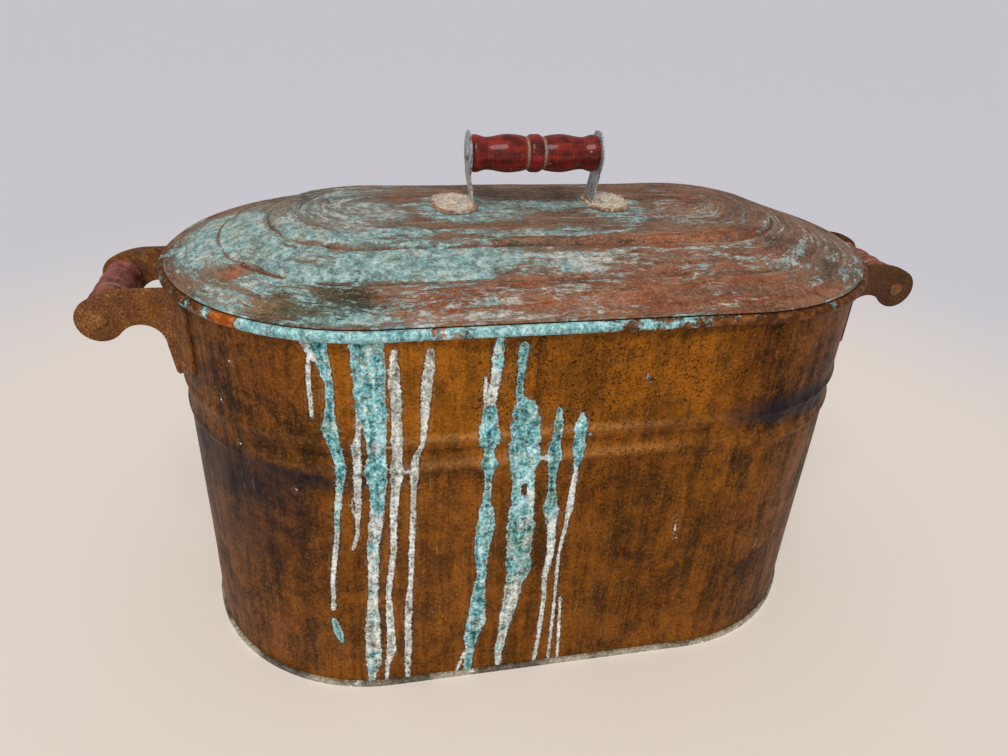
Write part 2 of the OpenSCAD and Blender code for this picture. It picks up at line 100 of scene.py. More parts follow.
class Graph:
    """Adds nodes to one node tree and joins them."""

    def __init__(self, tree: bpy.types.NodeTree) -> None:
        """Keeps the tree."""
        self.tree = tree

    def add(self, kind: str, inputs: dict | None = None, **settings: object) -> bpy.types.Node:
        """Adds a node.

        Args:
            kind: The node's type.
            inputs: A value or a socket for each input, by name or index.
            **settings: Properties of the node.

        Returns:
            The node.
        """
        node = self.tree.nodes.new(kind)
        for name, value in settings.items():
            setattr(node, name, value)
        for key, value in (inputs or {}).items():
            self.feed(node.inputs[key], value)
        return node

    def feed(self, socket: bpy.types.NodeSocket, value: object) -> None:
        """Links a socket to an input, or sets the input's own value."""
        if isinstance(value, bpy.types.NodeSocket):
            self.tree.links.new(value, socket)
        else:
            socket.default_value = value

    def math(self, operation: str, a: object, b: object = 0.0, clamp: bool = False) -> bpy.types.NodeSocket:
        """The result of a Math node with two inputs."""
        node = self.add("ShaderNodeMath", {0: a, 1: b}, operation=operation, use_clamp=clamp)
        return node.outputs[0]

    def blend(self, share: object, a: object, b: object, mode: str = "MIX") -> bpy.types.NodeSocket:
        """A colour between a and b, by a share from 0 to 1."""
        node = self.add(
            "ShaderNodeMix",
            {0: share, 6: a, 7: b},
            data_type="RGBA",
            blend_type=mode,
            clamp_factor=True,
        )
        return node.outputs[2]

    def lerp(self, share: object, a: object, b: object) -> bpy.types.NodeSocket:
        """A number between a and b, by a share from 0 to 1."""
        node = self.add("ShaderNodeMix", {0: share, 2: a, 3: b}, data_type="FLOAT", clamp_factor=True)
        return node.outputs[0]

    def step(self, value: object, low: object, high: object) -> bpy.types.NodeSocket:
        """A smooth step from 0 at low to 1 at high; low may be the larger one."""
        node = self.add(
            "ShaderNodeMapRange",
            {"Value": value, "From Min": low, "From Max": high},
            interpolation_type="SMOOTHSTEP",
        )
        return node.outputs["Result"]

    def noise(
        self,
        vector: object,
        scale: float,
        detail: float = 3.0,
        rough: float = 0.55,
        distortion: float = 0.0,
    ) -> bpy.types.NodeSocket:
        """Noise from 0 to 1, stretched so that it uses that range."""
        values = {
            "Vector": vector,
            "Scale": scale,
            "Detail": detail,
            "Roughness": rough,
            "Distortion": distortion,
        }
        node = self.add("ShaderNodeTexNoise", values)
        wide = self.add(
            "ShaderNodeMapRange",
            {"Value": node.outputs[0], "From Min": 0.27, "From Max": 0.73},
        )
        return wide.outputs["Result"]

    def cells(self, vector: object, scale: float, spread: float = 1.0) -> bpy.types.NodeSocket:
        """Distance to the nearest of many scattered points."""
        node = self.add("ShaderNodeTexVoronoi", {"Vector": vector, "Scale": scale, "Randomness": spread})
        return node.outputs["Distance"]

    def stretch(self, vector: object, scale: tuple[float, float, float]) -> bpy.types.NodeSocket:
        """The vector, scaled along each axis."""
        node = self.add("ShaderNodeMapping", {"Vector": vector, "Scale": scale})
        return node.outputs[0]

    def place(self) -> bpy.types.NodeSocket:
        """The point's place in the boiler's frame."""
        return self.add("ShaderNodeTexCoord").outputs["Object"]

    def painted(self, name: str, colour: bool = False) -> bpy.types.NodeSocket:
        """A value or colour painted on the mesh."""
        node = self.add("ShaderNodeAttribute", attribute_name=name)
        return node.outputs["Color" if colour else "Fac"]

    def group(self, tree: bpy.types.NodeTree, **inputs: object) -> bpy.types.Node:
        """Places a node group, with a value or a socket for each named input."""
        node = self.add("ShaderNodeGroup")
        node.node_tree = tree
        for name, value in inputs.items():
            self.feed(node.inputs[name], value)
        return node

    def ramp(self, value: object, stops: Sequence[tuple[float, str]]) -> bpy.types.NodeSocket:
        """A colour ramp through hex colours."""
        node = self.add("ShaderNodeValToRGB", {"Fac": value})
        marks = node.color_ramp.elements
        marks[0].position, marks[0].color = stops[0][0], paint(stops[0][1])
        marks[1].position, marks[1].color = stops[-1][0], paint(stops[-1][1])
        for position, code in stops[1:-1]:
            marks.new(position).color = paint(code)
        return node.outputs["Color"]


class Effects:
    """Shader node groups that several finishes share, each built once."""

    def __init__(self) -> None:
        """Builds every group."""
        self.flow = self._flow()
        self.verdigris = self._verdigris()
        self.cover = self._cover()
        self.pits = self._pits()
        self.rust = self._rust()
        self.tarnish = self._tarnish()

    @staticmethod
    def _new(name: str, inputs: dict, outputs: dict) -> tuple[Graph, bpy.types.Node, bpy.types.Node]:
        """Makes an empty group with its sockets.

        Args:
            name: The group's name.
            inputs: For each input, its type, or its type and value.
            outputs: For each output, its type.

        Returns:
            The group's graph, its input node and its output node.
        """
        tree = bpy.data.node_groups.new(name, "ShaderNodeTree")
        for label, kind in inputs.items():
            plug, value = kind if isinstance(kind, tuple) else (kind, None)
            socket = tree.interface.new_socket(name=label, in_out="INPUT", socket_type=plug.value)
            if value is not None:
                socket.default_value = value
        for label, kind in outputs.items():
            tree.interface.new_socket(name=label, in_out="OUTPUT", socket_type=kind.value)
        graph = Graph(tree)
        return graph, graph.add("NodeGroupInput"), graph.add("NodeGroupOutput")

    def _flow(self) -> bpy.types.NodeTree:
        """Coordinates that run along the oval and across it, for marks that follow its plan."""
        g, start, end = self._new(
            "flow_round_the_oval",
            {
                "Vector": Plug.VECTOR,
                "Spine": (Plug.NUMBER, 0.135),
                "Along": (Plug.NUMBER, 1.0),
                "Across": (Plug.NUMBER, 10.0),
            },
            {"Vector": Plug.VECTOR},
        )
        parts = g.add("ShaderNodeSeparateXYZ", {0: start.outputs["Vector"]})
        past = g.math("MAXIMUM", g.math("SUBTRACT", g.math("ABSOLUTE", parts.outputs[0]), start.outputs["Spine"]))
        square = g.math("ADD", g.math("MULTIPLY", past, past), g.math("POWER", parts.outputs[1], 2.0))
        sway = g.math("MULTIPLY", g.noise(start.outputs["Vector"], 24.0, 3.0, 0.6), 0.007)
        ring = g.math("ADD", g.math("SQRT", square), sway)
        joined = g.add(
            "ShaderNodeCombineXYZ",
            {
                0: g.math("MULTIPLY", parts.outputs[0], start.outputs["Along"]),
                1: g.math("MULTIPLY", parts.outputs[1], start.outputs["Along"]),
                2: g.math("MULTIPLY", ring, start.outputs["Across"]),
            },
        )
        g.feed(end.inputs[0], joined.outputs[0])
        return g.tree

    def _verdigris(self) -> bpy.types.NodeTree:
        """Granular copper salts, from a greenish white to teal, and how thick they lie."""
        g, start, end = self._new(
            "verdigris",
            {"Vector": Plug.VECTOR, "Teal": (Plug.NUMBER, 0.5)},
            {"Color": Plug.COLOUR, "Height": Plug.NUMBER},
        )
        place = start.outputs["Vector"]
        grain = g.noise(place, 470.0, 5.0, 0.75)
        clots = g.noise(place, 135.0, 4.0, 0.65)
        drawn = g.noise(g.stretch(place, (210.0, 210.0, 24.0)), 1.0, 3.0, 0.6)
        tone = g.math("ADD", g.math("MULTIPLY", grain, 0.42), g.math("MULTIPLY", clots, 0.34))
        tone = g.math("ADD", tone, g.math("MULTIPLY", drawn, 0.24))
        teal = g.ramp(
            tone,
            [(0.3, "1b3c40"), (0.4, "3a757a"), (0.5, "6fabae"), (0.6, "a3d4d6"), (0.72, "e4f3f2")],
        )
        green = g.ramp(tone, [(0.3, "2c4239"), (0.43, "5c8b80"), (0.57, "9bc0b5"), (0.72, "dfeae2")])
        teal = g.blend(g.step(g.noise(place, 42.0, 2.0), 0.5, 0.9), teal, green)
        white = g.ramp(
            tone,
            [(0.3, "57564d"), (0.4, "969588"), (0.5, "c4c6be"), (0.6, "e4e7e1"), (0.72, "fbfcfa")],
        )
        cloud = g.noise(place, 80.0, 3.0, 0.6)
        lean = g.math("ADD", start.outputs["Teal"], g.math("MULTIPLY", g.math("SUBTRACT", cloud, 0.5), 0.8))
        g.feed(end.inputs["Color"], g.blend(g.step(lean, 0.25, 0.75), white, teal))
        g.feed(end.inputs["Height"], tone)
        return g.tree

    def _cover(self) -> bpy.types.NodeTree:
        """Where a crust has taken hold: Amount is about the share that it covers."""
        g, start, end = self._new(
            "crust_cover",
            {
                "Vector": Plug.VECTOR,
                "Flow": Plug.VECTOR,
                "Amount": (Plug.NUMBER, 0.5),
                "Soft": (Plug.NUMBER, 0.06),
            },
            {"Mask": Plug.NUMBER},
        )
        streak = g.noise(start.outputs["Flow"], 1.0, 4.0, 0.65, 0.25)
        broad = g.noise(g.stretch(start.outputs["Flow"], (0.35, 0.35, 0.28)), 1.0, 3.0, 0.6)
        blot = g.noise(start.outputs["Vector"], 62.0, 4.0, 0.6, 0.5)
        fine = g.noise(start.outputs["Vector"], 430.0, 4.0, 0.7)
        mixed = g.math("ADD", g.math("MULTIPLY", streak, 0.27), g.math("MULTIPLY", broad, 0.17))
        mixed = g.math("ADD", mixed, g.math("MULTIPLY", blot, 0.28))
        mixed = g.math("ADD", mixed, g.math("MULTIPLY", fine, 0.28))
        need = g.lerp(start.outputs["Amount"], 0.84, 0.27)
        over = g.math("SUBTRACT", mixed, need)
        soft = start.outputs["Soft"]
        g.feed(end.inputs["Mask"], g.step(over, g.math("MULTIPLY", soft, -1.0), soft))
        return g.tree

    def _pits(self) -> bpy.types.NodeTree:
        """Small dark pits and specks, denser as Amount goes to 1."""
        g, start, end = self._new(
            "dark_pits",
            {"Vector": Plug.VECTOR, "Amount": (Plug.NUMBER, 0.5)},
            {"Mask": Plug.NUMBER},
        )
        place = start.outputs["Vector"]
        amount = start.outputs["Amount"]
        small = g.noise(place, 640.0, 3.0, 0.6)
        large = g.noise(place, 230.0, 4.0, 0.75)
        cloud = g.noise(place, 34.0, 3.0, 0.6)
        share = g.math("MULTIPLY", amount, g.math("ADD", g.math("MULTIPLY", cloud, 1.0), 0.45), clamp=True)
        dots = g.step(small, g.lerp(share, 0.95, 0.58), g.lerp(share, 1.05, 0.76))
        blots = g.step(large, g.lerp(share, 1.0, 0.64), g.lerp(share, 1.1, 0.78))
        g.feed(end.inputs["Mask"], g.math("MAXIMUM", dots, blots))
        return g.tree

    def _rust(self) -> bpy.types.NodeTree:
        """Brown iron rust with orange bloom and darker scale."""
        g, start, end = self._new(
            "rust",
            {"Vector": Plug.VECTOR, "Bloom": (Plug.NUMBER, 0.5)},
            {"Color": Plug.COLOUR, "Height": Plug.NUMBER},
        )
        place = start.outputs["Vector"]
        grain = g.noise(place, 560.0, 5.0, 0.75)
        cloud = g.noise(place, 80.0, 4.0, 0.65)
        slow = g.noise(place, 30.0, 3.0, 0.6)
        tone = g.math("ADD", g.math("MULTIPLY", grain, 0.72), g.math("MULTIPLY", cloud, 0.28))
        base = g.ramp(tone, [(0.15, "2c180d"), (0.4, "663c1d"), (0.6, "845227"), (0.85, "bd8d50")])
        bloom = g.ramp(tone, [(0.2, "5a2f0e"), (0.5, "935416"), (0.8, "c69238")])
        share = g.math("MULTIPLY", g.step(slow, 0.45, 0.8), start.outputs["Bloom"])
        g.feed(end.inputs["Color"], g.blend(share, base, bloom))
        g.feed(end.inputs["Height"], g.math("ADD", g.math("MULTIPLY", grain, 0.7), g.math("MULTIPLY", cloud, 0.3)))
        return g.tree

    def _tarnish(self) -> bpy.types.NodeTree:
        """Changes of tone in old sheet metal, large and small, and fine scuffs across it."""
        g, start, end = self._new(
            "tarnish",
            {"Vector": Plug.VECTOR, "Along": Plug.VECTOR},
            {"Tone": Plug.NUMBER, "Grain": Plug.NUMBER, "Scuff": Plug.NUMBER},
        )
        place = start.outputs["Vector"]
        slow = g.noise(place, 17.0, 5.0, 0.7, 0.6)
        blots = g.noise(place, 95.0, 5.0, 0.7, 0.4)
        runs = g.noise(start.outputs["Along"], 1.0, 5.0, 0.7, 0.3)
        tone = g.math("ADD", g.math("MULTIPLY", slow, 0.4), g.math("MULTIPLY", blots, 0.25))
        g.feed(end.inputs["Tone"], g.math("ADD", tone, g.math("MULTIPLY", runs, 0.35)))
        g.feed(end.inputs["Grain"], g.noise(place, 420.0, 5.0, 0.75))
        slant = g.add(
            "ShaderNodeMapping",
            {"Vector": place, "Rotation": (0.4, 1.1, 0.5), "Scale": (800.0, 800.0, 40.0)},
        )
        few = g.step(g.noise(place, 22.0, 2.0), 0.5, 0.8)
        g.feed(end.inputs["Scuff"], g.math("MULTIPLY", few, g.step(g.noise(slant.outputs[0], 1.0, 1.0), 0.86, 1.0)))
        return g.tree


# ---------------------------------------------------------------------------
# Finishes
# ---------------------------------------------------------------------------


@dataclass(frozen=True)
class Finish:
    """A finish with its own material."""

    name: str

    def material(self, effects: Effects) -> bpy.types.Material:
        """Makes the material.

        Args:
            effects: The shared node groups.

        Returns:
            The material, with its nodes.
        """
        made = bpy.data.materials.new(self.name)
        made.use_nodes = True
        graph = Graph(made.node_tree)
        self.dress(graph, made.node_tree.nodes["Principled BSDF"], effects)
        return made

    def dress(self, g: Graph, shader: bpy.types.Node, effects: Effects) -> None:
        """Feeds the shader."""
        raise NotImplementedError

    @staticmethod
    def relief(g: Graph, shader: bpy.types.Node, height: object, depth: float) -> None:
        """Feeds the shader's normal from a height.

        Args:
            g: The material's graph.
            shader: Its Principled BSDF.
            height: The height, from 0 to 1.
            depth: The depth in metres that a height of 1 stands for.
        """
        bump = g.add("ShaderNodeBump", {"Height": height, "Strength": 1.0, "Distance": depth})
        g.feed(shader.inputs["Normal"], bump.outputs[0])


@dataclass(frozen=True)
class RunCopper(Finish):
    """The wall's outside: aged copper with painted zones, verdigris runs and a crusted rim."""

    pit_colour: str = "24150b"
    smudge_colour: str = "4f260f"

    def dress(self, g: Graph, shader: bpy.types.Node, effects: Effects) -> None:
        """Feeds the shader."""
        place = g.place()
        tarnish = g.group(effects.tarnish, Vector=place, Along=g.stretch(place, (110.0, 110.0, 9.0)))
        pits = g.group(effects.pits, Vector=place, Amount=g.painted("pits")).outputs["Mask"]
        copper = self.copper(g, place, tarnish, pits)
        copper = self.rim(g, place, copper)

        swing = g.math("ADD", g.math("MULTIPLY", g.painted("run_half"), 0.3), 0.9)
        wobble = g.math("MULTIPLY", g.math("SUBTRACT", g.noise(place, 130.0, 4.0, 0.7), 0.5), swing)
        fray = g.math("MULTIPLY", g.math("SUBTRACT", g.noise(place, 560.0, 3.0, 0.7), 0.5), 1.9)
        edge = g.math("ADD", g.painted("run_edge"), g.math("ADD", wobble, fray))
        thin = g.step(g.noise(place, 300.0, 4.0, 0.75), 0.6, 0.84)
        inside = g.math("MULTIPLY", g.step(edge, 0.05, -0.5), g.lerp(thin, 1.0, 0.3))
        teal = g.painted("run_teal")
        crust = g.group(effects.verdigris, Vector=place, Teal=teal)
        broken = g.step(g.noise(place, 180.0, 3.0), 0.15, 0.7)
        line = g.math("MULTIPLY", g.step(edge, 0.4, 0.05), g.step(edge, -1.1, -0.35))
        line = g.math("MULTIPLY", line, broken)
        salts = g.blend(g.math("MULTIPLY", line, 0.85), crust.outputs["Color"], paint("e2e6e0"))
        salts = g.blend(g.math("MULTIPLY", g.painted("roll"), 0.2), salts, paint("b7d4cd"))
        shadow = g.math("MULTIPLY", g.step(edge, 1.5, 0.6), g.step(edge, -0.1, 0.4))
        copper = g.blend(g.math("MULTIPLY", shadow, 0.5), copper, paint("22180f"))
        film = g.math("MULTIPLY", g.step(edge, 3.4, 0.6), g.step(g.noise(place, 330.0, 4.0, 0.7), 0.5, 0.8))
        copper = g.blend(g.math("MULTIPLY", film, 0.5), copper, g.blend(teal, paint("a08c76"), paint("76988f")))

        flow = g.stretch(place, (60.0, 60.0, 90.0))
        cover = g.group(effects.cover, Vector=place, Flow=flow, Amount=g.painted("crust")).outputs["Mask"]
        solid = g.math("MAXIMUM", inside, cover)
        g.feed(shader.inputs["Base Color"], g.blend(solid, copper, salts))
        dull = g.lerp(g.step(tarnish.outputs["Tone"], 0.2, 0.9), 0.6, 0.42)
        dull = g.lerp(pits, dull, 0.75)
        g.feed(shader.inputs["Roughness"], g.lerp(solid, dull, 0.93))
        g.feed(shader.inputs["Metallic"], g.math("MULTIPLY", g.math("SUBTRACT", 1.0, solid), 0.4))
        shader.inputs["Specular IOR Level"].default_value = 0.07
        lumps = g.math("MULTIPLY", solid, g.math("ADD", g.math("MULTIPLY", crust.outputs["Height"], 0.55), 0.45))
        dips = g.math("MULTIPLY", pits, -0.12)
        skin = g.math("MULTIPLY", g.noise(place, 170.0, 4.0), 0.1)
        height = g.math("ADD", lumps, g.math("ADD", dips, skin))
        self.relief(g, shader, height, 0.45 * MM)

    def copper(
        self,
        g: Graph,
        place: bpy.types.NodeSocket,
        tarnish: bpy.types.Node,
        pits: bpy.types.NodeSocket,
    ) -> bpy.types.NodeSocket:
        """The bare sheet's colour, from the painted zones, with smudges, specks and scuffs.

        Args:
            g: The material's graph.
            place: The point's place.
            tarnish: The tarnish group's node.
            pits: Where the dark pits are.

        Returns:
            The colour.
        """
        zone = g.painted("zone", colour=True)
        dark = g.blend(0.5, zone, paint("24150a"))
        light = g.blend(0.32, zone, paint("c8741a"))
        copper = g.blend(g.step(tarnish.outputs["Tone"], 0.3, 0.7), dark, light)
        grain = tarnish.outputs["Grain"]
        copper = g.blend(g.math("MULTIPLY", g.step(grain, 0.5, 0.15), 0.6), copper, paint("24140a"))
        copper = g.blend(g.math("MULTIPLY", g.step(grain, 0.55, 0.9), 0.3), copper, paint("cf9350"))
        smudge = g.step(g.noise(place, 30.0, 6.0, 0.75, 0.6), 0.55, 0.9)
        copper = g.blend(g.math("MULTIPLY", smudge, 0.38), copper, paint(self.smudge_colour))
        ghost = g.step(g.noise(g.stretch(place, (170.0, 170.0, 8.0)), 1.0, 4.0, 0.6, 0.4), 0.7, 1.0)
        copper = g.blend(g.math("MULTIPLY", ghost, 0.4), copper, paint("42240f"))
        blued = g.blend(g.step(tarnish.outputs["Tone"], 0.3, 0.7), paint("161824"), paint("3d2e2b"))
        copper = g.blend(g.math("MULTIPLY", g.painted("blued"), 0.94), copper, blued)
        copper = g.blend(g.math("MULTIPLY", pits, 0.82), copper, paint(self.pit_colour))
        return g.blend(g.math("MULTIPLY", tarnish.outputs["Scuff"], 0.3), copper, paint("b79a78"))

    def rim(self, g: Graph, place: bpy.types.NodeSocket, copper: bpy.types.NodeSocket) -> bpy.types.NodeSocket:
        """Adds the rolled rim's browner copper and the places where it is worn bright.

        Args:
            g: The material's graph.
            place: The point's place.
            copper: The sheet's colour.

        Returns:
            The colour.
        """
        chips = g.step(g.noise(place, 140.0, 5.0, 0.7), 0.35, 0.85)
        rolled = g.blend(chips, paint("3a2415"), paint("8a5530"))
        copper = g.blend(g.math("MULTIPLY", g.painted("roll"), 0.8), copper, rolled)
        return g.blend(g.painted("bare"), copper, g.blend(chips, paint("a04a14"), paint("d98a45")))


@dataclass(frozen=True)
class LidCopper(Finish):
    """The lid's outside: copper under verdigris, in streaks that follow the oval."""

    def dress(self, g: Graph, shader: bpy.types.Node, effects: Effects) -> None:
        """Feeds the shader."""
        place = g.place()
        fine_flow = g.group(effects.flow, Vector=place, Spine=0.135, Along=52.0, Across=330.0).outputs[0]
        wide_flow = g.group(effects.flow, Vector=place, Spine=0.135, Along=9.0, Across=90.0).outputs[0]
        tarnish = g.group(effects.tarnish, Vector=place, Along=wide_flow)
        streak = g.noise(fine_flow, 0.8, 5.0, 0.7, 0.3)
        tone = g.math("ADD", g.math("MULTIPLY", tarnish.outputs["Tone"], 0.5), g.math("MULTIPLY", streak, 0.2))
        tone = g.math("ADD", tone, g.math("MULTIPLY", tarnish.outputs["Grain"], 0.3))
        zone = g.painted("zone", colour=True)
        dark = g.blend(0.58, zone, paint("20150e"))
        ruddy = g.lerp(g.step(g.painted("red"), 0.1, 0.4), 0.12, 0.38)
        light = g.blend(ruddy, zone, paint("cf946c"))
        copper = g.blend(g.step(tone, 0.35, 0.65), dark, light)
        red = g.step(g.noise(fine_flow, 0.5, 4.0, 0.65, 0.3), 0.5, 0.8)
        copper = g.blend(g.math("MULTIPLY", red, g.painted("red")), copper, paint("93401c"))
        dirt = g.step(g.noise(place, 210.0, 5.0, 0.75), 0.58, 0.8)
        copper = g.blend(g.math("MULTIPLY", dirt, 0.5), copper, paint("2a1d14"))
        pits = g.group(effects.pits, Vector=place, Amount=0.6).outputs["Mask"]
        copper = g.blend(g.math("MULTIPLY", pits, 0.6), copper, paint("2a1a11"))
        dust = g.step(g.noise(place, 520.0, 4.0, 0.7), 0.6, 0.9)
        copper = g.blend(g.math("MULTIPLY", dust, 0.5), copper, paint("bbab9a"))
        amount = g.painted("crust")
        veil = g.step(g.noise(wide_flow, 1.3, 5.0, 0.7, 0.4), 0.2, 0.85)
        veil = g.math("MULTIPLY", veil, g.math("MULTIPLY", amount, 0.5))
        copper = g.blend(veil, copper, g.blend(g.painted("teal"), paint("86796a"), paint("557b69")))
        drawn = g.group(effects.flow, Vector=place, Spine=0.135, Along=0.45, Across=1.5).outputs[0]
        cover = g.group(effects.cover, Vector=drawn, Flow=fine_flow, Amount=amount, Soft=0.08).outputs["Mask"]
        crust = g.group(effects.verdigris, Vector=place, Teal=g.painted("teal"))
        warm = g.blend(0.42, crust.outputs["Color"], paint("8a7c6a"))
        cool = g.blend(0.36, crust.outputs["Color"], paint("9b9b92"))
        salts = g.blend(g.step(g.painted("teal"), 0.3, 0.6), warm, cool)
        g.feed(shader.inputs["Base Color"], g.blend(g.math("MULTIPLY", cover, 0.85), copper, salts))
        rough = g.lerp(g.step(tone, 0.3, 0.8), 0.75, 0.5)
        g.feed(shader.inputs["Roughness"], g.lerp(cover, rough, 0.95))
        g.feed(shader.inputs["Metallic"], g.math("MULTIPLY", g.math("SUBTRACT", 1.0, cover), 0.2))
        shader.inputs["Specular IOR Level"].default_value = 0.2
        lumps = g.math("MULTIPLY", cover, g.math("ADD", g.math("MULTIPLY", crust.outputs["Height"], 0.7), 0.3))
        grit = g.math("MULTIPLY", tarnish.outputs["Grain"], 0.3)
        self.relief(g, shader, g.math("ADD", lumps, grit), 0.45 * MM)


@dataclass(frozen=True)
class SheetCopper(Finish):
    """Plain old copper sheet without painted zones, for the inside, the back and hidden pieces."""

    light: str = "8a5530"
    dark: str = "5a351d"
    spots: float = 0.35
    bloom: float = 0.12
    metal: float = 0.45

    def dress(self, g: Graph, shader: bpy.types.Node, effects: Effects) -> None:
        """Feeds the shader."""
        place = g.place()
        tarnish = g.group(effects.tarnish, Vector=place, Along=g.stretch(place, (60.0, 60.0, 6.0)))
        tone = tarnish.outputs["Tone"]
        copper = g.blend(g.step(tone, 0.2, 0.8), paint(self.dark), paint(self.light))
        grain = g.math("MULTIPLY", g.step(tarnish.outputs["Grain"], 0.5, 0.1), 0.4)
        copper = g.blend(grain, copper, paint("2b180c"))
        pits = g.group(effects.pits, Vector=place, Amount=self.spots).outputs["Mask"]
        copper = g.blend(g.math("MULTIPLY", pits, 0.75), copper, paint("2e1a0d"))
        flow = g.stretch(place, (40.0, 40.0, 25.0))
        cover = g.group(effects.cover, Vector=place, Flow=flow, Amount=self.bloom).outputs["Mask"]
        crust = g.group(effects.verdigris, Vector=place, Teal=0.6)
        g.feed(shader.inputs["Base Color"], g.blend(cover, copper, crust.outputs["Color"]))
        g.feed(shader.inputs["Roughness"], g.lerp(cover, g.lerp(tone, 0.62, 0.45), 0.93))
        g.feed(shader.inputs["Metallic"], g.math("MULTIPLY", g.math("SUBTRACT", 1.0, cover), self.metal))
        height = g.math("ADD", g.math("MULTIPLY", cover, 0.8), g.math("MULTIPLY", g.noise(place, 170.0), 0.1))
        self.relief(g, shader, height, 0.35 * MM)


@dataclass(frozen=True)
class SeamCopper(Finish):
    """The bottom and its double seam, with old tin bright along parts of it."""

    def dress(self, g: Graph, shader: bpy.types.Node, effects: Effects) -> None:
        """Feeds the shader."""
        place = g.place()
        slow = g.noise(g.stretch(place, (14.0, 14.0, 3.0)), 1.0, 3.0, 0.5)
        fine = g.noise(place, 320.0, 4.0, 0.7)
        grey = g.ramp(fine, [(0.1, "352f27"), (0.5, "615a4f"), (0.95, "9b9587")])
        tin = g.ramp(fine, [(0.05, "6f6856"), (0.45, "a8a18c"), (0.9, "d8d4c2")])
        metal = g.blend(g.step(slow, 0.35, 0.6), grey, tin)
        brown = g.step(g.noise(place, 60.0, 4.0, 0.65), 0.6, 0.85)
        metal = g.blend(g.math("MULTIPLY", brown, 0.7), metal, paint("63452c"))
        cover = g.group(effects.cover, Vector=place, Flow=g.stretch(place, (50.0, 50.0, 50.0)), Amount=0.28)
        crust = g.group(effects.verdigris, Vector=place, Teal=0.35)
        mask = cover.outputs["Mask"]
        g.feed(shader.inputs["Base Color"], g.blend(mask, metal, crust.outputs["Color"]))
        g.feed(shader.inputs["Roughness"], g.lerp(fine, 0.45, 0.7))
        g.feed(shader.inputs["Metallic"], g.math("MULTIPLY", g.math("SUBTRACT", 1.0, mask), 0.5))
        self.relief(g, shader, g.math("ADD", g.math("MULTIPLY", fine, 0.4), g.math("MULTIPLY", mask, 0.6)), 0.3 * MM)


@dataclass(frozen=True)
class RustySteel(Finish):
    """Stamped steel that has rusted evenly, greyer where a hand has worn it."""

    bloom: float = 0.6
    worn: float = 0.35
    browned: float = 0.0

    def dress(self, g: Graph, shader: bpy.types.Node, effects: Effects) -> None:
        """Feeds the shader."""
        place = g.place()
        rust = g.group(effects.rust, Vector=place, Bloom=self.bloom)
        smooth = g.step(g.noise(place, 48.0, 4.0, 0.6), 0.6, 0.95)
        colour = g.blend(g.math("MULTIPLY", smooth, self.worn), rust.outputs["Color"], paint("6b5c4b"))
        dark = g.step(g.noise(place, 190.0, 5.0, 0.75), 0.66, 0.92)
        colour = g.blend(g.math("MULTIPLY", dark, 0.5), colour, paint("2a1710"))
        colour = g.blend(self.browned, colour, paint("2e1c0a"))
        g.feed(shader.inputs["Base Color"], colour)
        g.feed(shader.inputs["Roughness"], g.lerp(smooth, 0.82, 0.55))
        g.feed(shader.inputs["Metallic"], g.math("MULTIPLY", smooth, 0.3))
        shader.inputs["Specular IOR Level"].default_value = 0.25
        self.relief(g, shader, rust.outputs["Height"], 0.4 * MM)


@dataclass(frozen=True)
class TinnedSteel(Finish):
    """Tinned strap steel with rust at its edges and a beige crust on its foot."""

    foot_z: float = 0.3835
    foot_rust: float = 0.35

    def dress(self, g: Graph, shader: bpy.types.Node, effects: Effects) -> None:
        """Feeds the shader."""
        place = g.place()
        rust = g.group(effects.rust, Vector=place, Bloom=0.8)
        cloud = g.noise(place, 100.0, 5.0, 0.7)
        fine = g.noise(place, 470.0, 5.0, 0.75)
        drawn = g.noise(g.stretch(place, (420.0, 420.0, 30.0)), 1.0, 3.0, 0.6)
        tone = g.math("ADD", g.math("MULTIPLY", fine, 0.5), g.math("MULTIPLY", drawn, 0.5))
        tin = g.ramp(tone, [(0.2, "4c4a48"), (0.42, "8b8d8e"), (0.6, "bfc1bf"), (0.82, "efeee9")])
        colour = g.blend(g.math("MULTIPLY", g.step(cloud, 0.6, 0.85), 0.8), tin, rust.outputs["Color"])
        height = g.add("ShaderNodeSeparateXYZ", {0: place}).outputs[2]
        low = g.step(g.math("ADD", height, g.math("MULTIPLY", cloud, 0.004)), self.foot_z + 0.004, self.foot_z)
        beige = g.ramp(fine, [(0.15, "8c755d"), (0.38, "c9b699"), (0.6, "ead9be"), (0.85, "fdf4e3")])
        grey = g.ramp(fine, [(0.15, "827c76"), (0.5, "c6bbb2"), (0.85, "f2e8de")])
        beige = g.blend(g.step(g.noise(place, 60.0, 3.0), 0.35, 0.75), beige, grey)
        scale = g.math("MULTIPLY", g.painted("edge"), g.step(g.noise(place, 170.0, 5.0, 0.75), 0.2, 0.65))
        spots = g.math("MULTIPLY", g.step(g.noise(place, 210.0, 5.0, 0.75), 0.55, 0.8), self.foot_rust)
        rusty = g.ramp(fine, [(0.15, "4a2310"), (0.5, "8f5426"), (0.85, "c79055")])
        beige = g.blend(g.math("MULTIPLY", g.math("MAXIMUM", scale, spots), 0.9), beige, rusty)
        g.feed(shader.inputs["Base Color"], g.blend(low, colour, beige))
        g.feed(shader.inputs["Roughness"], g.lerp(low, g.lerp(cloud, 0.4, 0.7), 0.92))
        g.feed(shader.inputs["Metallic"], g.math("MULTIPLY", g.math("SUBTRACT", 1.0, low), 0.45))
        lumps = g.math("MULTIPLY", fine, g.lerp(low, 0.25, 1.0))
        self.relief(g, shader, lumps, 0.7 * MM)


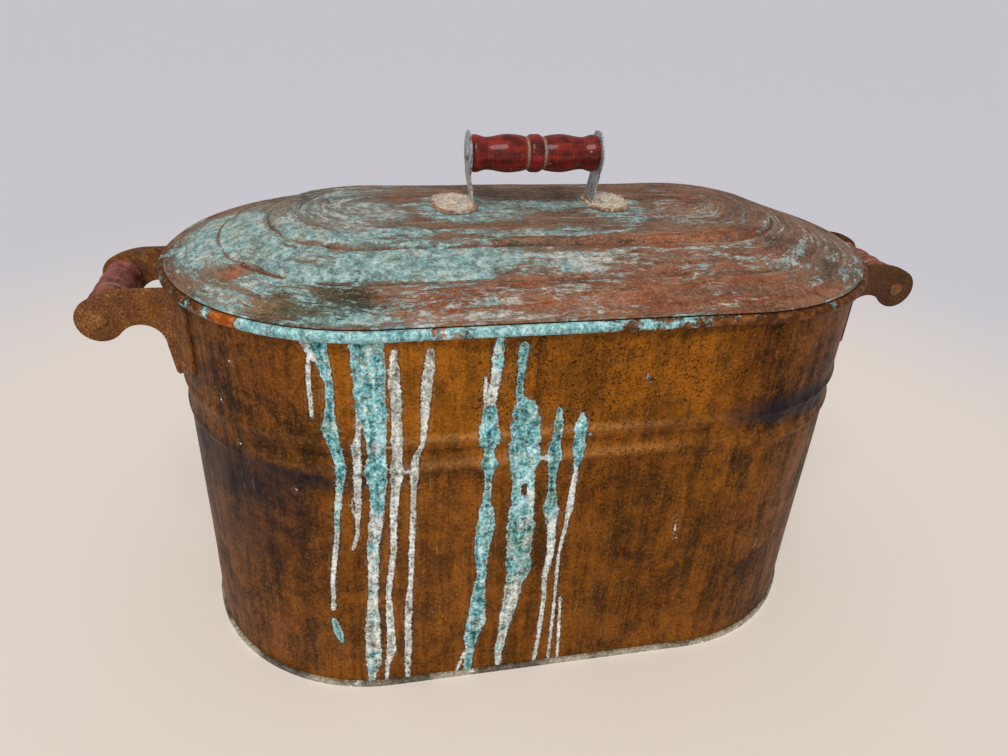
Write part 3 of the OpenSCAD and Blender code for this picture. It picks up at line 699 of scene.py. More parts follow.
@dataclass(frozen=True)
class TurnedWood(Finish):
    """A turned wooden grip: stain and grain along its axis, wear, and dirt in its grooves."""

    axis_x: bool = False
    dark: str = "3b0f0b"
    light: str = "7f2a1c"
    worn: str = "b0745f"
    wear: float = 0.5
    gloss: float = 0.0
    roughness: tuple[float, float] = (0.5, 0.8)

    def dress(self, g: Graph, shader: bpy.types.Node, effects: Effects) -> None:
        """Feeds the shader."""
        place = g.place()
        along = (9.0, 260.0, 260.0) if self.axis_x else (260.0, 9.0, 260.0)
        around = (420.0, 25.0, 25.0) if self.axis_x else (25.0, 420.0, 25.0)
        grain = g.noise(g.stretch(place, along), 1.0, 5.0, 0.65)
        cloud = g.noise(place, 90.0, 5.0, 0.7)
        fine = g.noise(place, 480.0, 4.0, 0.7)
        stain = g.math("ADD", g.math("MULTIPLY", grain, 0.4), g.math("MULTIPLY", cloud, 0.6))
        wood = g.blend(g.step(stain, 0.25, 0.8), paint(self.dark), paint(self.light))
        rings = g.noise(g.stretch(place, around), 1.0, 4.0, 0.65)
        rub = g.math("MULTIPLY", g.step(rings, 0.55, 0.9), g.step(cloud, 0.3, 0.7))
        rub = g.math("MAXIMUM", rub, g.step(fine, 0.84, 1.0))
        wood = g.blend(g.math("MULTIPLY", rub, self.wear), wood, paint(self.worn))
        groove = g.painted("groove")
        dirt = g.math("MULTIPLY", groove, g.step(fine, 0.1, 0.6))
        wood = g.blend(g.math("MULTIPLY", dirt, 0.75), wood, paint("a3937f"))
        grime = g.step(g.noise(place, 120.0, 5.0, 0.75), 0.76, 0.95)
        wood = g.blend(g.math("MULTIPLY", grime, 0.6), wood, paint("a79a90"))
        g.feed(shader.inputs["Base Color"], wood)
        rough = g.lerp(cloud, self.roughness[0], self.roughness[1])
        g.feed(shader.inputs["Roughness"], g.lerp(g.math("MAXIMUM", dirt, grime), rough, 0.9))
        shader.inputs["Specular IOR Level"].default_value = 0.12 if self.gloss > 0 else 0.25
        if self.gloss > 0:
            clean = g.math("SUBTRACT", 1.0, g.math("MAXIMUM", dirt, grime))
            g.feed(shader.inputs["Coat Weight"], g.math("MULTIPLY", clean, self.gloss))
            shader.inputs["Coat Roughness"].default_value = 0.09
        height = g.math("ADD", g.math("MULTIPLY", grain, 0.25), g.math("MULTIPLY", rub, -0.3))
        height = g.math("ADD", height, g.math("MULTIPLY", grime, 0.5))
        self.relief(g, shader, height, 0.3 * MM)


@dataclass(frozen=True)
class StudioFloor(Finish):
    """A plain pale floor, warm near the boiler and cooler further off."""

    near: str = "e9ded3"
    far: str = "d2d0d8"

    def dress(self, g: Graph, shader: bpy.types.Node, effects: Effects) -> None:
        """Feeds the shader."""
        reach = g.add("ShaderNodeVectorMath", {0: g.place()}, operation="LENGTH").outputs["Value"]
        g.feed(shader.inputs["Base Color"], g.blend(g.step(reach, 0.55, 1.3), paint(self.near), paint(self.far)))
        shader.inputs["Roughness"].default_value = 0.7
        shader.inputs["Specular IOR Level"].default_value = 0.2


class Slot(Enum):
    """The record's material slots."""

    WALL = "wall_copper"
    BOTTOM = "bottom_copper"
    LID = "lid_copper"
    SKIRT = "skirt_copper"
    RIM = "rim_iron"
    EAR = "ear_steel"
    STRAP = "strap_steel"
    SIDE_WOOD = "faded_wood"
    LID_WOOD = "varnished_wood"


@dataclass
class Palette:
    """Every material of the boiler, made once."""

    effects: Effects
    wall: bpy.types.Material = field(init=False)
    inside: bpy.types.Material = field(init=False)
    lid: bpy.types.Material = field(init=False)
    under_lid: bpy.types.Material = field(init=False)
    seam: bpy.types.Material = field(init=False)
    skirt: bpy.types.Material = field(init=False)
    wire: bpy.types.Material = field(init=False)
    left_ear: bpy.types.Material = field(init=False)
    right_ear: bpy.types.Material = field(init=False)
    rivet: bpy.types.Material = field(init=False)
    left_strap: bpy.types.Material = field(init=False)
    right_strap: bpy.types.Material = field(init=False)
    side_wood: bpy.types.Material = field(init=False)
    lid_wood: bpy.types.Material = field(init=False)

    def __post_init__(self) -> None:
        """Makes the materials."""
        made = self.effects
        self.wall = RunCopper("copper_with_runs").material(made)
        self.inside = SheetCopper("inside_copper", light="8f6a4a", dark="5f4630", bloom=0.2).material(made)
        self.lid = LidCopper("lid_verdigris").material(made)
        self.under_lid = SheetCopper("under_lid_copper", light="8a5a3c", dark="5c3d28", bloom=0.3).material(made)
        self.seam = SeamCopper("tinned_seam").material(made)
        self.skirt = SheetCopper("skirt_copper", light="87593a", dark="5d3c25", bloom=0.3).material(made)
        self.wire = RustySteel("rim_wire", bloom=0.3, worn=0.6).material(made)
        self.left_ear = RustySteel("rusted_left_ears", bloom=0.4, worn=0.35, browned=0.16).material(made)
        self.right_ear = RustySteel("rusted_right_ears", bloom=0.4, worn=0.2, browned=0.66).material(made)
        self.rivet = RustySteel("rusted_rivets", bloom=0.3, worn=0.8).material(made)
        self.left_strap = TinnedSteel("left_tinned_strap").material(made)
        self.right_strap = TinnedSteel("right_tinned_strap", foot_rust=0.9).material(made)
        self.side_wood = TurnedWood(
            "faded_red_grip", dark="5e2f26", light="955448", worn="c09a88", wear=0.8, roughness=(0.55, 0.85)
        ).material(made)
        self.lid_wood = TurnedWood(
            "varnished_grip", axis_x=True, dark="450f08", light="8c2311", worn="b0583a", wear=0.3,
            gloss=0.35, roughness=(0.45, 0.6),
        ).material(made)


# ---------------------------------------------------------------------------
# Shapes
# ---------------------------------------------------------------------------


@dataclass(frozen=True)
class Oval:
    """The boiler's plan: two half circles joined by straight sides."""

    spine: float
    end_r: float

    def ring(self, x: np.ndarray, y: np.ndarray) -> np.ndarray:
        """Distance of each point from the line between the two centres."""
        return np.hypot(np.maximum(np.abs(x) - self.spine, 0.0), y)

    def round_front(self, x: np.ndarray, y: np.ndarray) -> np.ndarray:
        """Distance along the outline from the middle of the nearer long side, to the right.

        Args:
            x: Places along the boiler.
            y: Places across it.

        Returns:
            The distance of each point, in metres.
        """
        past = np.maximum(np.abs(x) - self.spine, 0.0)
        turn = np.arctan2(past, np.abs(y))
        return np.where(past > 0, np.sign(x) * (self.spine + self.end_r * turn), x)

    def outward(self, x: np.ndarray, y: np.ndarray) -> tuple[np.ndarray, np.ndarray]:
        """The outward direction at each point, in plan."""
        past = np.maximum(np.abs(x) - self.spine, 0.0) * np.sign(x)
        length = np.maximum(np.hypot(past, y), 1e-9)
        return past / length, y / length


class Sweep:
    """Carries a closed cross-section along the oval with spins."""

    def __init__(self) -> None:
        """Starts with an empty mesh."""
        self.bm = bmesh.new()
        self.last: list = []

    def start(self, section: Sequence[Point], centre_x: float, direction: Point) -> list:
        """Places the cross-section.

        Args:
            section: Its points, as distance from the spine and height.
            centre_x: Where on the spine it starts.
            direction: Which way it points from there, in plan.

        Returns:
            The section's edges.
        """
        points = [
            self.bm.verts.new((centre_x + r * direction[0], r * direction[1], z)) for r, z in section
        ]
        edges = [self.bm.edges.new((a, b)) for a, b in zip(points, points[1:] + points[:1])]
        self.last = points + edges
        return edges

    def straight(self, length: float, steps: int) -> None:
        """Carries the section along X, in a number of steps."""
        self._spin(Vector((0, 0, 0)), 0.0, Vector((length / steps, 0, 0)), steps)

    def turn(self, centre_x: float, angle: float, steps: int) -> None:
        """Turns the section round a centre on the spine, by an angle in radians."""
        self._spin(Vector((centre_x, 0, 0)), angle, Vector((0, 0, 0)), steps)

    def _spin(self, centre: Vector, angle: float, shift: Vector, steps: int) -> None:
        """One spin of the last section."""
        made = bmesh.ops.spin(
            self.bm,
            geom=self.last,
            cent=centre,
            axis=(0, 0, 1),
            dvec=shift,
            angle=angle,
            steps=steps,
            use_merge=False,
            use_duplicate=False,
        )
        self.last = made["geom_last"]

    def cap(self, edges: list) -> None:
        """Closes an end of the sweep."""
        bmesh.ops.edgeloop_fill(self.bm, edges=edges)

    def last_edges(self) -> list:
        """The edges of the last section."""
        return [g for g in self.last if isinstance(g, bmesh.types.BMEdge)]


def finished(
    bm: bmesh.types.BMesh,
    name: str,
    materials: Sequence[bpy.types.Material],
    smooth_deg: float = SMOOTH_DEG,
) -> bpy.types.Object:
    """Turns a bmesh into an object at the origin, smooth but for its real edges.

    Args:
        bm: The shape, which is freed.
        name: The object's name.
        materials: The materials, in the order of the faces' indices.
        smooth_deg: Edges that bend more than this stay sharp.

    Returns:
        The object.
    """
    bmesh.ops.recalc_face_normals(bm, faces=bm.faces)
    limit = math.radians(smooth_deg)
    for face in bm.faces:
        face.smooth = True
    for edge in bm.edges:
        edge.smooth = edge.calc_face_angle(math.pi) < limit
    mesh = bpy.data.meshes.new(name)
    bm.to_mesh(mesh)
    bm.free()
    made = bpy.data.objects.new(name, mesh)
    bpy.context.scene.collection.objects.link(made)
    for material in materials:
        mesh.materials.append(material)
    return made


def seat(piece: bpy.types.Object, body: str, slot: Slot, *nodes: str) -> None:
    """Makes a piece ride on a body, in the place of its nodes.

    Args:
        piece: The piece.
        body: The body's name.
        slot: Not used.
        *nodes: The frame's nodes that it stands for.
    """
    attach(piece, body)
    if nodes:
        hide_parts(*nodes)
    log.info("%s: %d faces, rides on %s", piece.name, len(piece.data.polygons), body)


def places(mesh: bpy.types.Mesh) -> np.ndarray:
    """The mesh's points, one row each."""
    flat = np.empty(len(mesh.vertices) * 3)
    mesh.vertices.foreach_get("co", flat)
    return flat.reshape(-1, 3)


def write_value(mesh: bpy.types.Mesh, name: str, values: np.ndarray) -> None:
    """Paints a number on every point of the mesh."""
    layer = mesh.attributes.new(name, "FLOAT", "POINT")
    layer.data.foreach_set("value", values.astype(np.float32).ravel())


def write_colour(mesh: bpy.types.Mesh, name: str, values: np.ndarray) -> None:
    """Paints a colour on every point of the mesh."""
    layer = mesh.attributes.new(name, "FLOAT_COLOR", "POINT")
    layer.data.foreach_set("color", values.astype(np.float32).ravel())


def arc(centre: Point, radius: float, start: float, end: float, steps: int) -> list[Point]:
    """Points of an arc, between two angles in degrees."""
    turns = [math.radians(start + (end - start) * i / steps) for i in range(steps + 1)]
    return [(centre[0] + radius * math.cos(t), centre[1] + radius * math.sin(t)) for t in turns]


# ---------------------------------------------------------------------------
# Paint on the sheets
# ---------------------------------------------------------------------------


@dataclass(frozen=True)
class Patch:
    """A soft oval patch on a sheet, in millimetres, of a tone or of an amount."""

    centre: Point
    reach: Point
    amount: float
    tone: str = ""

    def share(self, u: np.ndarray, v: np.ndarray) -> np.ndarray:
        """How much of the patch each point gets."""
        far = np.hypot((u - self.centre[0]) / self.reach[0], (v - self.centre[1]) / self.reach[1])
        near = np.clip((1.3 - far) / 0.8, 0.0, 1.0)
        return self.amount * near * near * (3 - 2 * near)


@dataclass(frozen=True)
class Run:
    """A run of salts down the wall: its points are (round, height, half width), in millimetres."""

    points: tuple[tuple[float, float, float], ...]
    teal: tuple[float, float] = (0.0, 0.0)

    def edge(self, u: np.ndarray, v: np.ndarray) -> tuple[np.ndarray, np.ndarray, np.ndarray]:
        """Distance to the run's edge, below 0 inside it, with its half width and how teal it is.

        Args:
            u: Distances round from the middle of the front.
            v: Heights.

        Returns:
            The distances and half widths, in millimetres, and the shares of teal.
        """
        best = np.full(u.shape, 99.0)
        half = np.zeros(u.shape)
        top = self.points[0][1]
        span = max(top - self.points[-1][1], 1.0)
        chain = self.points if len(self.points) > 1 else self.points * 2
        for (u0, v0, w0), (u1, v1, w1) in zip(chain, chain[1:]):
            length = max((u1 - u0) ** 2 + (v1 - v0) ** 2, 1e-6)
            t = np.clip(((u - u0) * (u1 - u0) + (v - v0) * (v1 - v0)) / length, 0.0, 1.0)
            here = w0 + t * (w1 - w0)
            gap = np.hypot(u - u0 - t * (u1 - u0), v - v0 - t * (v1 - v0)) - here
            half = np.where(gap < best, here, half)
            best = np.minimum(best, gap)
        down = np.clip((top - v) / span, 0.0, 1.0)
        return best, half, self.teal[0] + down * (self.teal[1] - self.teal[0])


class Painter:
    """Paints zones, amounts and runs on the points of a sheet."""

    def __init__(self, u: np.ndarray, v: np.ndarray, seed: float, wander: float = 7.0) -> None:
        """Keeps the points, moved a little so that no patch has a clean edge.

        Args:
            u: The points' first coordinates, in millimetres.
            v: Their second coordinates.
            seed: Where in the noise the wander is read.
            wander: How far a point may be moved.
        """
        self.u = u
        self.v = v
        shifts = np.array(
            [noise.noise_vector(Vector((a * 0.022, b * 0.022, seed))) for a, b in zip(u, v)]
        )
        self.soft_u = u + wander * shifts[:, 0]
        self.soft_v = v + wander * shifts[:, 1]

    def tones(self, base: str, patches: Sequence[Patch]) -> np.ndarray:
        """Colours from a base and the patches over it."""
        colour = np.tile(np.array(paint(base)), (len(self.u), 1))
        for patch in patches:
            share = patch.share(self.soft_u, self.soft_v)[:, None]
            colour = colour * (1 - share) + np.array(paint(patch.tone)) * share
        return colour

    def amounts(self, base: float, patches: Sequence[Patch]) -> np.ndarray:
        """Amounts from a base and the patches over it."""
        amount = np.full(len(self.u), base)
        for patch in patches:
            share = np.clip(patch.share(self.soft_u, self.soft_v) / max(abs(patch.amount), 1e-6), 0, 1)
            amount = amount * (1 - share) + patch.amount * share
        return amount

    def runs(self, runs: Sequence[Run]) -> tuple[np.ndarray, np.ndarray, np.ndarray]:
        """Distance to the nearest run's edge, its half width there and its share of teal."""
        best = np.full(self.u.shape, 99.0)
        half = np.zeros(self.u.shape)
        teal = np.zeros(self.u.shape)
        for run in runs:
            edge, width, tint = run.edge(self.u, self.v)
            closer = edge < best
            best = np.where(closer, edge, best)
            half = np.where(closer, width, half)
            teal = np.where(closer, tint, teal)
        return best, half, teal


# ---------------------------------------------------------------------------
# The tub
# ---------------------------------------------------------------------------


WALL_TONES = (
    Patch((-95, 290), (85, 62), 0.9, "ad6a1a"),
    Patch((50, 295), (95, 58), 0.85, "a26216"),
    Patch((-100, 130), (65, 115), 0.9, "784a1f"),
    Patch((70, 135), (75, 95), 0.85, "56350f"),
    Patch((-222, 150), (42, 170), 0.92, "4a2e18"),
    Patch((-305, 150), (78, 220), 0.97, "33251b"),
    Patch((-236, 292), (58, 52), 0.92, "38231a"),
    Patch((-205, 40), (45, 30), 0.6, "66442a"),
    Patch((195, 295), (75, 60), 0.95, "361a06"),
    Patch((205, 130), (65, 150), 0.95, "341d08"),
    Patch((292, 140), (72, 190), 0.9, "3d3024"),
    Patch((150, 200), (60, 30), 0.5, "6b4212"),
    Patch((42, 45), (17, 46), 0.9, "3d2b18"),
    Patch((64, 28), (14, 28), 0.8, "3f2d1a"),
    Patch((44, 85), (9, 24), 0.7, "3f2d1a"),
    Patch((140, 240), (3.5, 95), 0.75, "33200f"),
    Patch((144, 125), (3.5, 40), 0.75, "33200f"),
    Patch((151, 82), (3.5, 18), 0.7, "3d2618"),
    Patch((112, 105), (2.5, 45), 0.5, "3d2618"),
    Patch((-60, 330), (80, 4), 0.5, "3c2412"),
    Patch((120, 330), (120, 4), 0.6, "35200f"),
)

WALL_HEAT = (
    Patch((-288, 170), (100, 60), 0.5),
    Patch((-290, 206), (98, 26), 0.9),
    Patch((-215, 219), (70, 10), 0.8),
    Patch((-155, 231), (50, 4), 0.4),
    Patch((205, 255), (80, 14), 0.65),
    Patch((188, 254), (50, 9), 1.0),
    Patch((232, 246), (26, 8), 0.95),
    Patch((148, 259), (22, 4), 0.6),
)

WALL_PITS = (
    Patch((20, 292), (145, 44), 1.0),
    Patch((35, 205), (120, 34), 0.85),
    Patch((-130, 215), (60, 25), 0.65),
    Patch((100, 110), (65, 70), 0.6),
    Patch((195, 280), (60, 60), 0.7),
    Patch((-250, 150), (70, 150), 0.3),
    Patch((-100, 290), (30, 40), 0.5),
)

RUNS = (
    Run(((-187, 335, 4), (-181, 321, 3)), (0.5, 0.3)),
    Run(((-178, 336, 6), (-171, 300, 3), (-172, 280, 3.5), (-173, 264, 6), (-170, 251, 4.5), (-167, 230, 4)), (0.75, 0.85)),
    Run(((-184, 319, 1.5), (-185, 304, 2), (-185, 274, 1.5))),
    Run(((-167, 230, 4), (-168, 217, 3), (-172, 190, 2.5), (-173, 170, 2), (-179, 127, 2), (-181, 89, 2)), (0.8, 0.1)),
    Run(((-181, 76, 2.5), (-179, 63, 4), (-176, 53, 2)), (1.0, 1.0)),
    Run(((-152, 274, 2.5), (-153, 261, 2), (-155, 250, 3.5), (-156, 197, 2.5), (-158, 168, 1.5), (-162, 154, 1.5)), (0.3, 0.2)),
    Run(((-159, 205, 1), (-161, 196, 1), (-158, 185, 1))),
    Run(((-145, 336, 11.5), (-144, 296, 11), (-143, 277, 11), (-141, 266, 8.5), (-141, 242, 6.5), (-142, 227, 8),
         (-141, 213, 6), (-142, 192, 5.5)), (0.82, 0.72)),
    Run(((-142, 192, 5.5), (-146, 159, 5), (-148, 109, 4), (-149, 87, 5), (-150, 64, 6.5), (-150, 32, 7),
         (-152, 15, 4), (-153, 5, 2.5)), (0.38, 0.42)),
    Run(((-127, 325, 2.5), (-127, 300, 4.5), (-126, 275, 3.5), (-126, 257, 4.5), (-126, 243, 3.5), (-127, 228, 5),
         (-128, 212, 3.5), (-130, 192, 3), (-131, 147, 2.5), (-136, 107, 2.5), (-135, 62, 3.5), (-135, 42, 4),
         (-139, 22, 2), (-140, 6, 2)), (0.25, 0.0)),
    Run(((-102, 325, 2.5), (-103, 312, 4), (-105, 295, 4), (-106, 272, 3), (-108, 249, 2), (-113, 237, 2.5),
         (-114, 228, 3.5), (-115, 198, 2), (-117, 145, 2.5), (-118, 116, 2), (-120, 90, 3), (-121, 40, 3),
         (-122, 2, 2)), (0.0, 0.0)),
    Run(((-134, 249, 1.5), (-128, 250, 1.5))),
    Run(((-124, 227, 1.5), (-115, 227, 1.5))),
    Run(((-54, 330, 3), (-55, 317, 4.5), (-56, 301, 3.5), (-59, 281, 4)), (0.8, 0.2)),
    Run(((-59, 276, 5), (-59, 263, 6.5), (-59, 249, 8.5), (-58, 238, 3.5), (-58, 227, 6.5), (-58, 214, 2.5)), (1.0, 0.8)),
    Run(((-58, 214, 2.5), (-59, 190, 3.5), (-58, 180, 6.5), (-59, 163, 7.5), (-61, 140, 5.5), (-60, 116, 4),
         (-62, 94, 5.5), (-63, 64, 8), (-67, 46, 6.5), (-68, 30, 4), (-70, 5, 3.5)), (0.7, 0.7)),
    Run(((-63, 301, 1), (-63, 287, 2), (-61, 277, 2))),
    Run(((-73, 26, 1.5), (-79, 4, 1.5))),
    Run(((-37, 325, 3.5), (-38, 298, 2.5), (-38, 285, 2.5), (-33, 274, 8.5), (-32, 260, 11.5), (-31, 232, 12),
         (-31, 214, 9)), (0.9, 0.9)),
    Run(((-35, 214, 4), (-36, 190, 3.5)), (0.8, 0.8)),
    Run(((-25, 214, 3), (-24, 190, 3.5)), (0.5, 0.5)),
    Run(((-30, 186, 9), (-30, 166, 11.5), (-30, 135, 10.5), (-29, 117, 10), (-33, 99, 7)), (0.7, 0.55)),
    Run(((-33, 99, 7), (-34, 80, 7), (-38, 61, 5.5), (-39, 46, 4.5), (-42, 25, 4), (-42, 6, 2.5)), (0.4, 0.25)),
    Run(((-7, 271, 2), (-7, 260, 4), (-7, 240, 4), (-8, 229, 6), (-8, 214, 3), (-7, 197, 3), (-7, 180, 6)), (1.0, 0.8)),
    Run(((-6, 176, 6.5), (-4, 157, 3.5), (-3, 132, 3.5), (-6, 107, 2.5), (-5, 80, 2), (-7, 30, 2), (-9, 5, 2)), (0.4, 0.0)),
    Run(((11, 266, 2), (11, 254, 5.5), (11, 247, 4), (11, 236, 5.5), (11, 220, 2.5)), (1.0, 0.9)),
    Run(((11, 220, 2), (9, 178, 3), (8, 163, 2), (4, 129, 1.5), (5, 68, 1.5), (4, 4, 1.5)), (0.2, 0.0)),
    Run(((10, 79, 1.5), (13, 5, 1.5))),
    Run(((-21, 230, 1.5), (-9, 228, 1.5)), (0.8, 0.8)),
    Run(((102, 163, 0.8), (103, 150, 1.2), (106, 135, 1.4))),
    Run(((19, 247, 1.6),), (0.6, 0.6)),
    Run(((-248, 304, 1.2),)),
    Run(((-261, 273, 1.4), (-264, 267, 1.2))),
    Run(((-250, 234, 1.8),)),
    Run(((-202, 207, 1.2),)),
    Run(((58, 296, 1.2), (60, 290, 0.9))),
    Run(((190, 121, 0.8), (193, 104, 0.8))),
)

RIM_CRUST = (
    Patch((-190, 0), (98, 90), 1.0),
    Patch((-243, 0), (12, 90), 0.1),
    Patch((-28, 0), (54, 90), 0.97),
    Patch((70, 0), (55, 90), 0.6),
    Patch((150, 0), (45, 90), 0.25),
    Patch((-262, 0), (16, 90), 0.5),
    Patch((-320, 0), (30, 90), 0.35),
)

RIM_BARE = (
    Patch((-92, 0), (10, 90), 0.85),
    Patch((-243, 0), (12, 90), 1.0),
)


@dataclass
class Tub:
    """The tub: its two wall sheets, its bottom and its wired rim."""

    palette: Palette
    sheet: float = 0.6 * MM
    rim_d: float = 8.0 * MM
    fold_gap: float = 0.12 * MM
    seam_h: float = 5.5 * MM
    bead_z: float = 239.7 * MM
    bead_pitch: float = 26.0 * MM
    ridge_half_w: float = 5.5 * MM
    ridge_out: float = 1.7 * MM
    groove_in: float = 1.2 * MM
    lap_w: float = 10.0 * MM
    oval: Oval = field(init=False)
    rim_z: float = field(init=False)

    def __post_init__(self) -> None:
        """Reads the plan and the rim's height from the frame."""
        low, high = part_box("front_wall")
        rim_reach = -low.y
        self.oval = Oval(spine=high.x - rim_reach, end_r=rim_reach - self.rim_d + self.sheet)
        self.rim_z = high.z - self.rim_d / 2

    def bead(self, z: float) -> float:
        """How far the bead moves the wall outwards at a height."""
        groove_half_w = self.bead_pitch / 2 - self.ridge_half_w

        def bump(far: float, half_w: float) -> float:
            """A smooth bump, 1 in its middle and 0 at its feet."""
            return 0.0 if abs(far) >= half_w else (1 + math.cos(math.pi * far / half_w)) / 2

        upper = bump(z - self.bead_z - self.bead_pitch / 2, self.ridge_half_w)
        lower = bump(z - self.bead_z + self.bead_pitch / 2, self.ridge_half_w)
        return self.ridge_out * (upper + lower) - self.groove_in * bump(z - self.bead_z, groove_half_w)

    def heights(self, low: float, high: float, pitch: float, bead_pitch: float) -> list[float]:
        """Heights from low to high, closer together over the bead."""
        bead_low = self.bead_z - 20 * MM
        bead_high = self.bead_z + 20 * MM
        spans = ((low, bead_low, pitch), (bead_low, bead_high, bead_pitch), (bead_high, high, pitch))
        found: list[float] = []
        for start, end, gap in spans:
            count = max(1, round((end - start) / gap))
            found += [start + (end - start) * i / count for i in range(count)]
        return found + [high]

    def section(self, pitch: float, bead_pitch: float) -> list[Point]:
        """The wall's cross-section: hook, outer face, hollow roll and inner face.

        Args:
            pitch: The distance between the outer face's points.
            bead_pitch: The same over the bead.

        Returns:
            The outline's points, as distance from the spine and height.
        """
        outer = self.oval.end_r
        inner = outer - self.sheet
        fold = self.sheet + self.fold_gap
        rim_r = self.rim_d / 2
        centre = (inner + rim_r, self.rim_z)
        hook_top = self.seam_h - fold
        hook = [
            (inner, fold),
            (outer + 2 * fold, fold),
            (outer + 2 * fold, hook_top),
            (outer + fold + self.fold_gap, hook_top),
            (outer + fold + self.fold_gap, fold + self.sheet),
        ]
        face = [
            (outer + self.bead(z), z)
            for z in self.heights(fold + self.sheet, self.rim_z, pitch, bead_pitch)
        ]
        hollow = arc(centre, rim_r - self.sheet, 172, -153, 14)
        roll = arc(centre, rim_r, -139.5, 180, 26)
        back = self.heights(fold + 8 * MM, self.rim_z - 6 * MM, 12 * MM, 3 * MM)
        inside = [(inner + self.bead(z), z) for z in reversed(back)]
        return hook + face + hollow + roll + inside

    def waviness(self, mesh: bpy.types.Mesh, seed: float) -> None:
        """Gives a wall the slight waves and dents of old sheet, none at its edges or seats."""
        points = places(mesh)
        x, y, z = points[:, 0], points[:, 1], points[:, 2]
        walk = self.oval.round_front(x, y)
        slow = np.array(
            [noise.noise(Vector((s * 9, h * 7, seed))) for s, h in zip(walk, z)]
        )
        small = np.array(
            [noise.noise(Vector((s * 30, h * 22, seed + 5))) for s, h in zip(walk, z)]
        )
        fade = np.clip((z - 12 * MM) / (60 * MM), 0, 1) * np.clip((self.rim_z - 18 * MM - z) / (70 * MM), 0, 1)
        clear_of_ears = 1 - 0.85 * np.clip((np.abs(walk) - 270 * MM) / (30 * MM), 0, 1) * (z > 0.24)
        move = (0.8 * slow - 0.25 + 0.25 * small) * MM * fade * clear_of_ears
        out_x, out_y = self.oval.outward(x, y)
        points[:, 0] += out_x * move
        points[:, 1] += out_y * move
        mesh.vertices.foreach_set("co", points.ravel())

    def front_wall(self) -> bpy.types.Object:
        """The front sheet, laid out densely where the runs are.

        Returns:
            The wall, painted and in place.
        """
        oval = self.oval
        sweep = Sweep()
        first = sweep.start(self.section(2.5 * MM, 1.3 * MM), oval.spine, (1.0, 0.0))
        sweep.turn(oval.spine, -math.pi / 2, 80)
        sweep.straight(-105 * MM, 34)
        sweep.straight(-(2 * oval.spine - 105 * MM), 110)
        near = 58 * MM / oval.end_r
        sweep.turn(-oval.spine, -near, 39)
        sweep.turn(-oval.spine, -(math.pi / 2 - near), 60)
        last = sweep.last_edges()
        sweep.cap(first)
        sweep.cap(last)
        self.lap_strips(sweep.bm)
        return self.dress_wall(sweep.bm, "front_wall_sheet", 1.7)

    def back_wall(self) -> bpy.types.Object:
        """The back sheet.

        Returns:
            The wall, painted and in place.
        """
        oval = self.oval
        sweep = Sweep()
        first = sweep.start(self.section(4 * MM, 1.6 * MM), oval.spine, (1.0, 0.0))
        sweep.turn(oval.spine, math.pi / 2, 64)
        sweep.straight(-2 * oval.spine, 72)
        sweep.turn(-oval.spine, math.pi / 2, 64)
        last = sweep.last_edges()
        sweep.cap(first)
        sweep.cap(last)
        return self.dress_wall(sweep.bm, "back_wall_sheet", 4.1)

    def lap_strips(self, bm: bmesh.types.BMesh) -> None:
        """Adds the strip at each end of the front sheet that laps over the back one."""
        inner = self.oval.end_r + self.fold_gap
        heights = self.heights(self.seam_h + 3 * MM, self.rim_z - self.rim_d / 2 - 1 * MM, 12 * MM, 1.6 * MM)
        outline = [(inner + self.sheet + self.bead(z), z) for z in heights]
        outline += [(inner + self.bead(z), z) for z in reversed(heights)]
        for side in (-1, 1):
            points = [bm.verts.new((side * (self.oval.spine + r), -2 * MM, z)) for r, z in outline]
            root = bm.faces.new(points)
            made = bmesh.ops.extrude_face_region(bm, geom=[root], use_keep_orig=True)
            moved = [g for g in made["geom"] if isinstance(g, bmesh.types.BMVert)]
            bmesh.ops.translate(bm, verts=moved, vec=(0, self.lap_w + 2 * MM, 0))

    def dress_wall(self, bm: bmesh.types.BMesh, name: str, seed: float) -> bpy.types.Object:
        """Makes a wall's object, with its inside in its own material, and paints it.

        Args:
            bm: The wall.
            name: The object's name.
            seed: Sets this wall's waves and patches apart from the other's.

        Returns:
            The wall.
        """
        bmesh.ops.recalc_face_normals(bm, faces=bm.faces)
        middle_r = self.oval.end_r - self.sheet / 2
        for face in bm.faces:
            centre = face.calc_center_median()
            past = max(abs(centre.x) - self.oval.spine, 0.0) * math.copysign(1, centre.x)
            facing = face.normal.x * past + face.normal.y * centre.y
            is_low = centre.z < self.rim_z - 2 * MM
            is_inside = math.hypot(past, centre.y) < middle_r + self.ridge_out and facing < 0
            face.material_index = 1 if is_inside and is_low else 0
        wall = finished(bm, name, [self.palette.wall, self.palette.inside])
        self.waviness(wall.data, seed)
        self.paint_wall(wall.data, seed)
        return wall

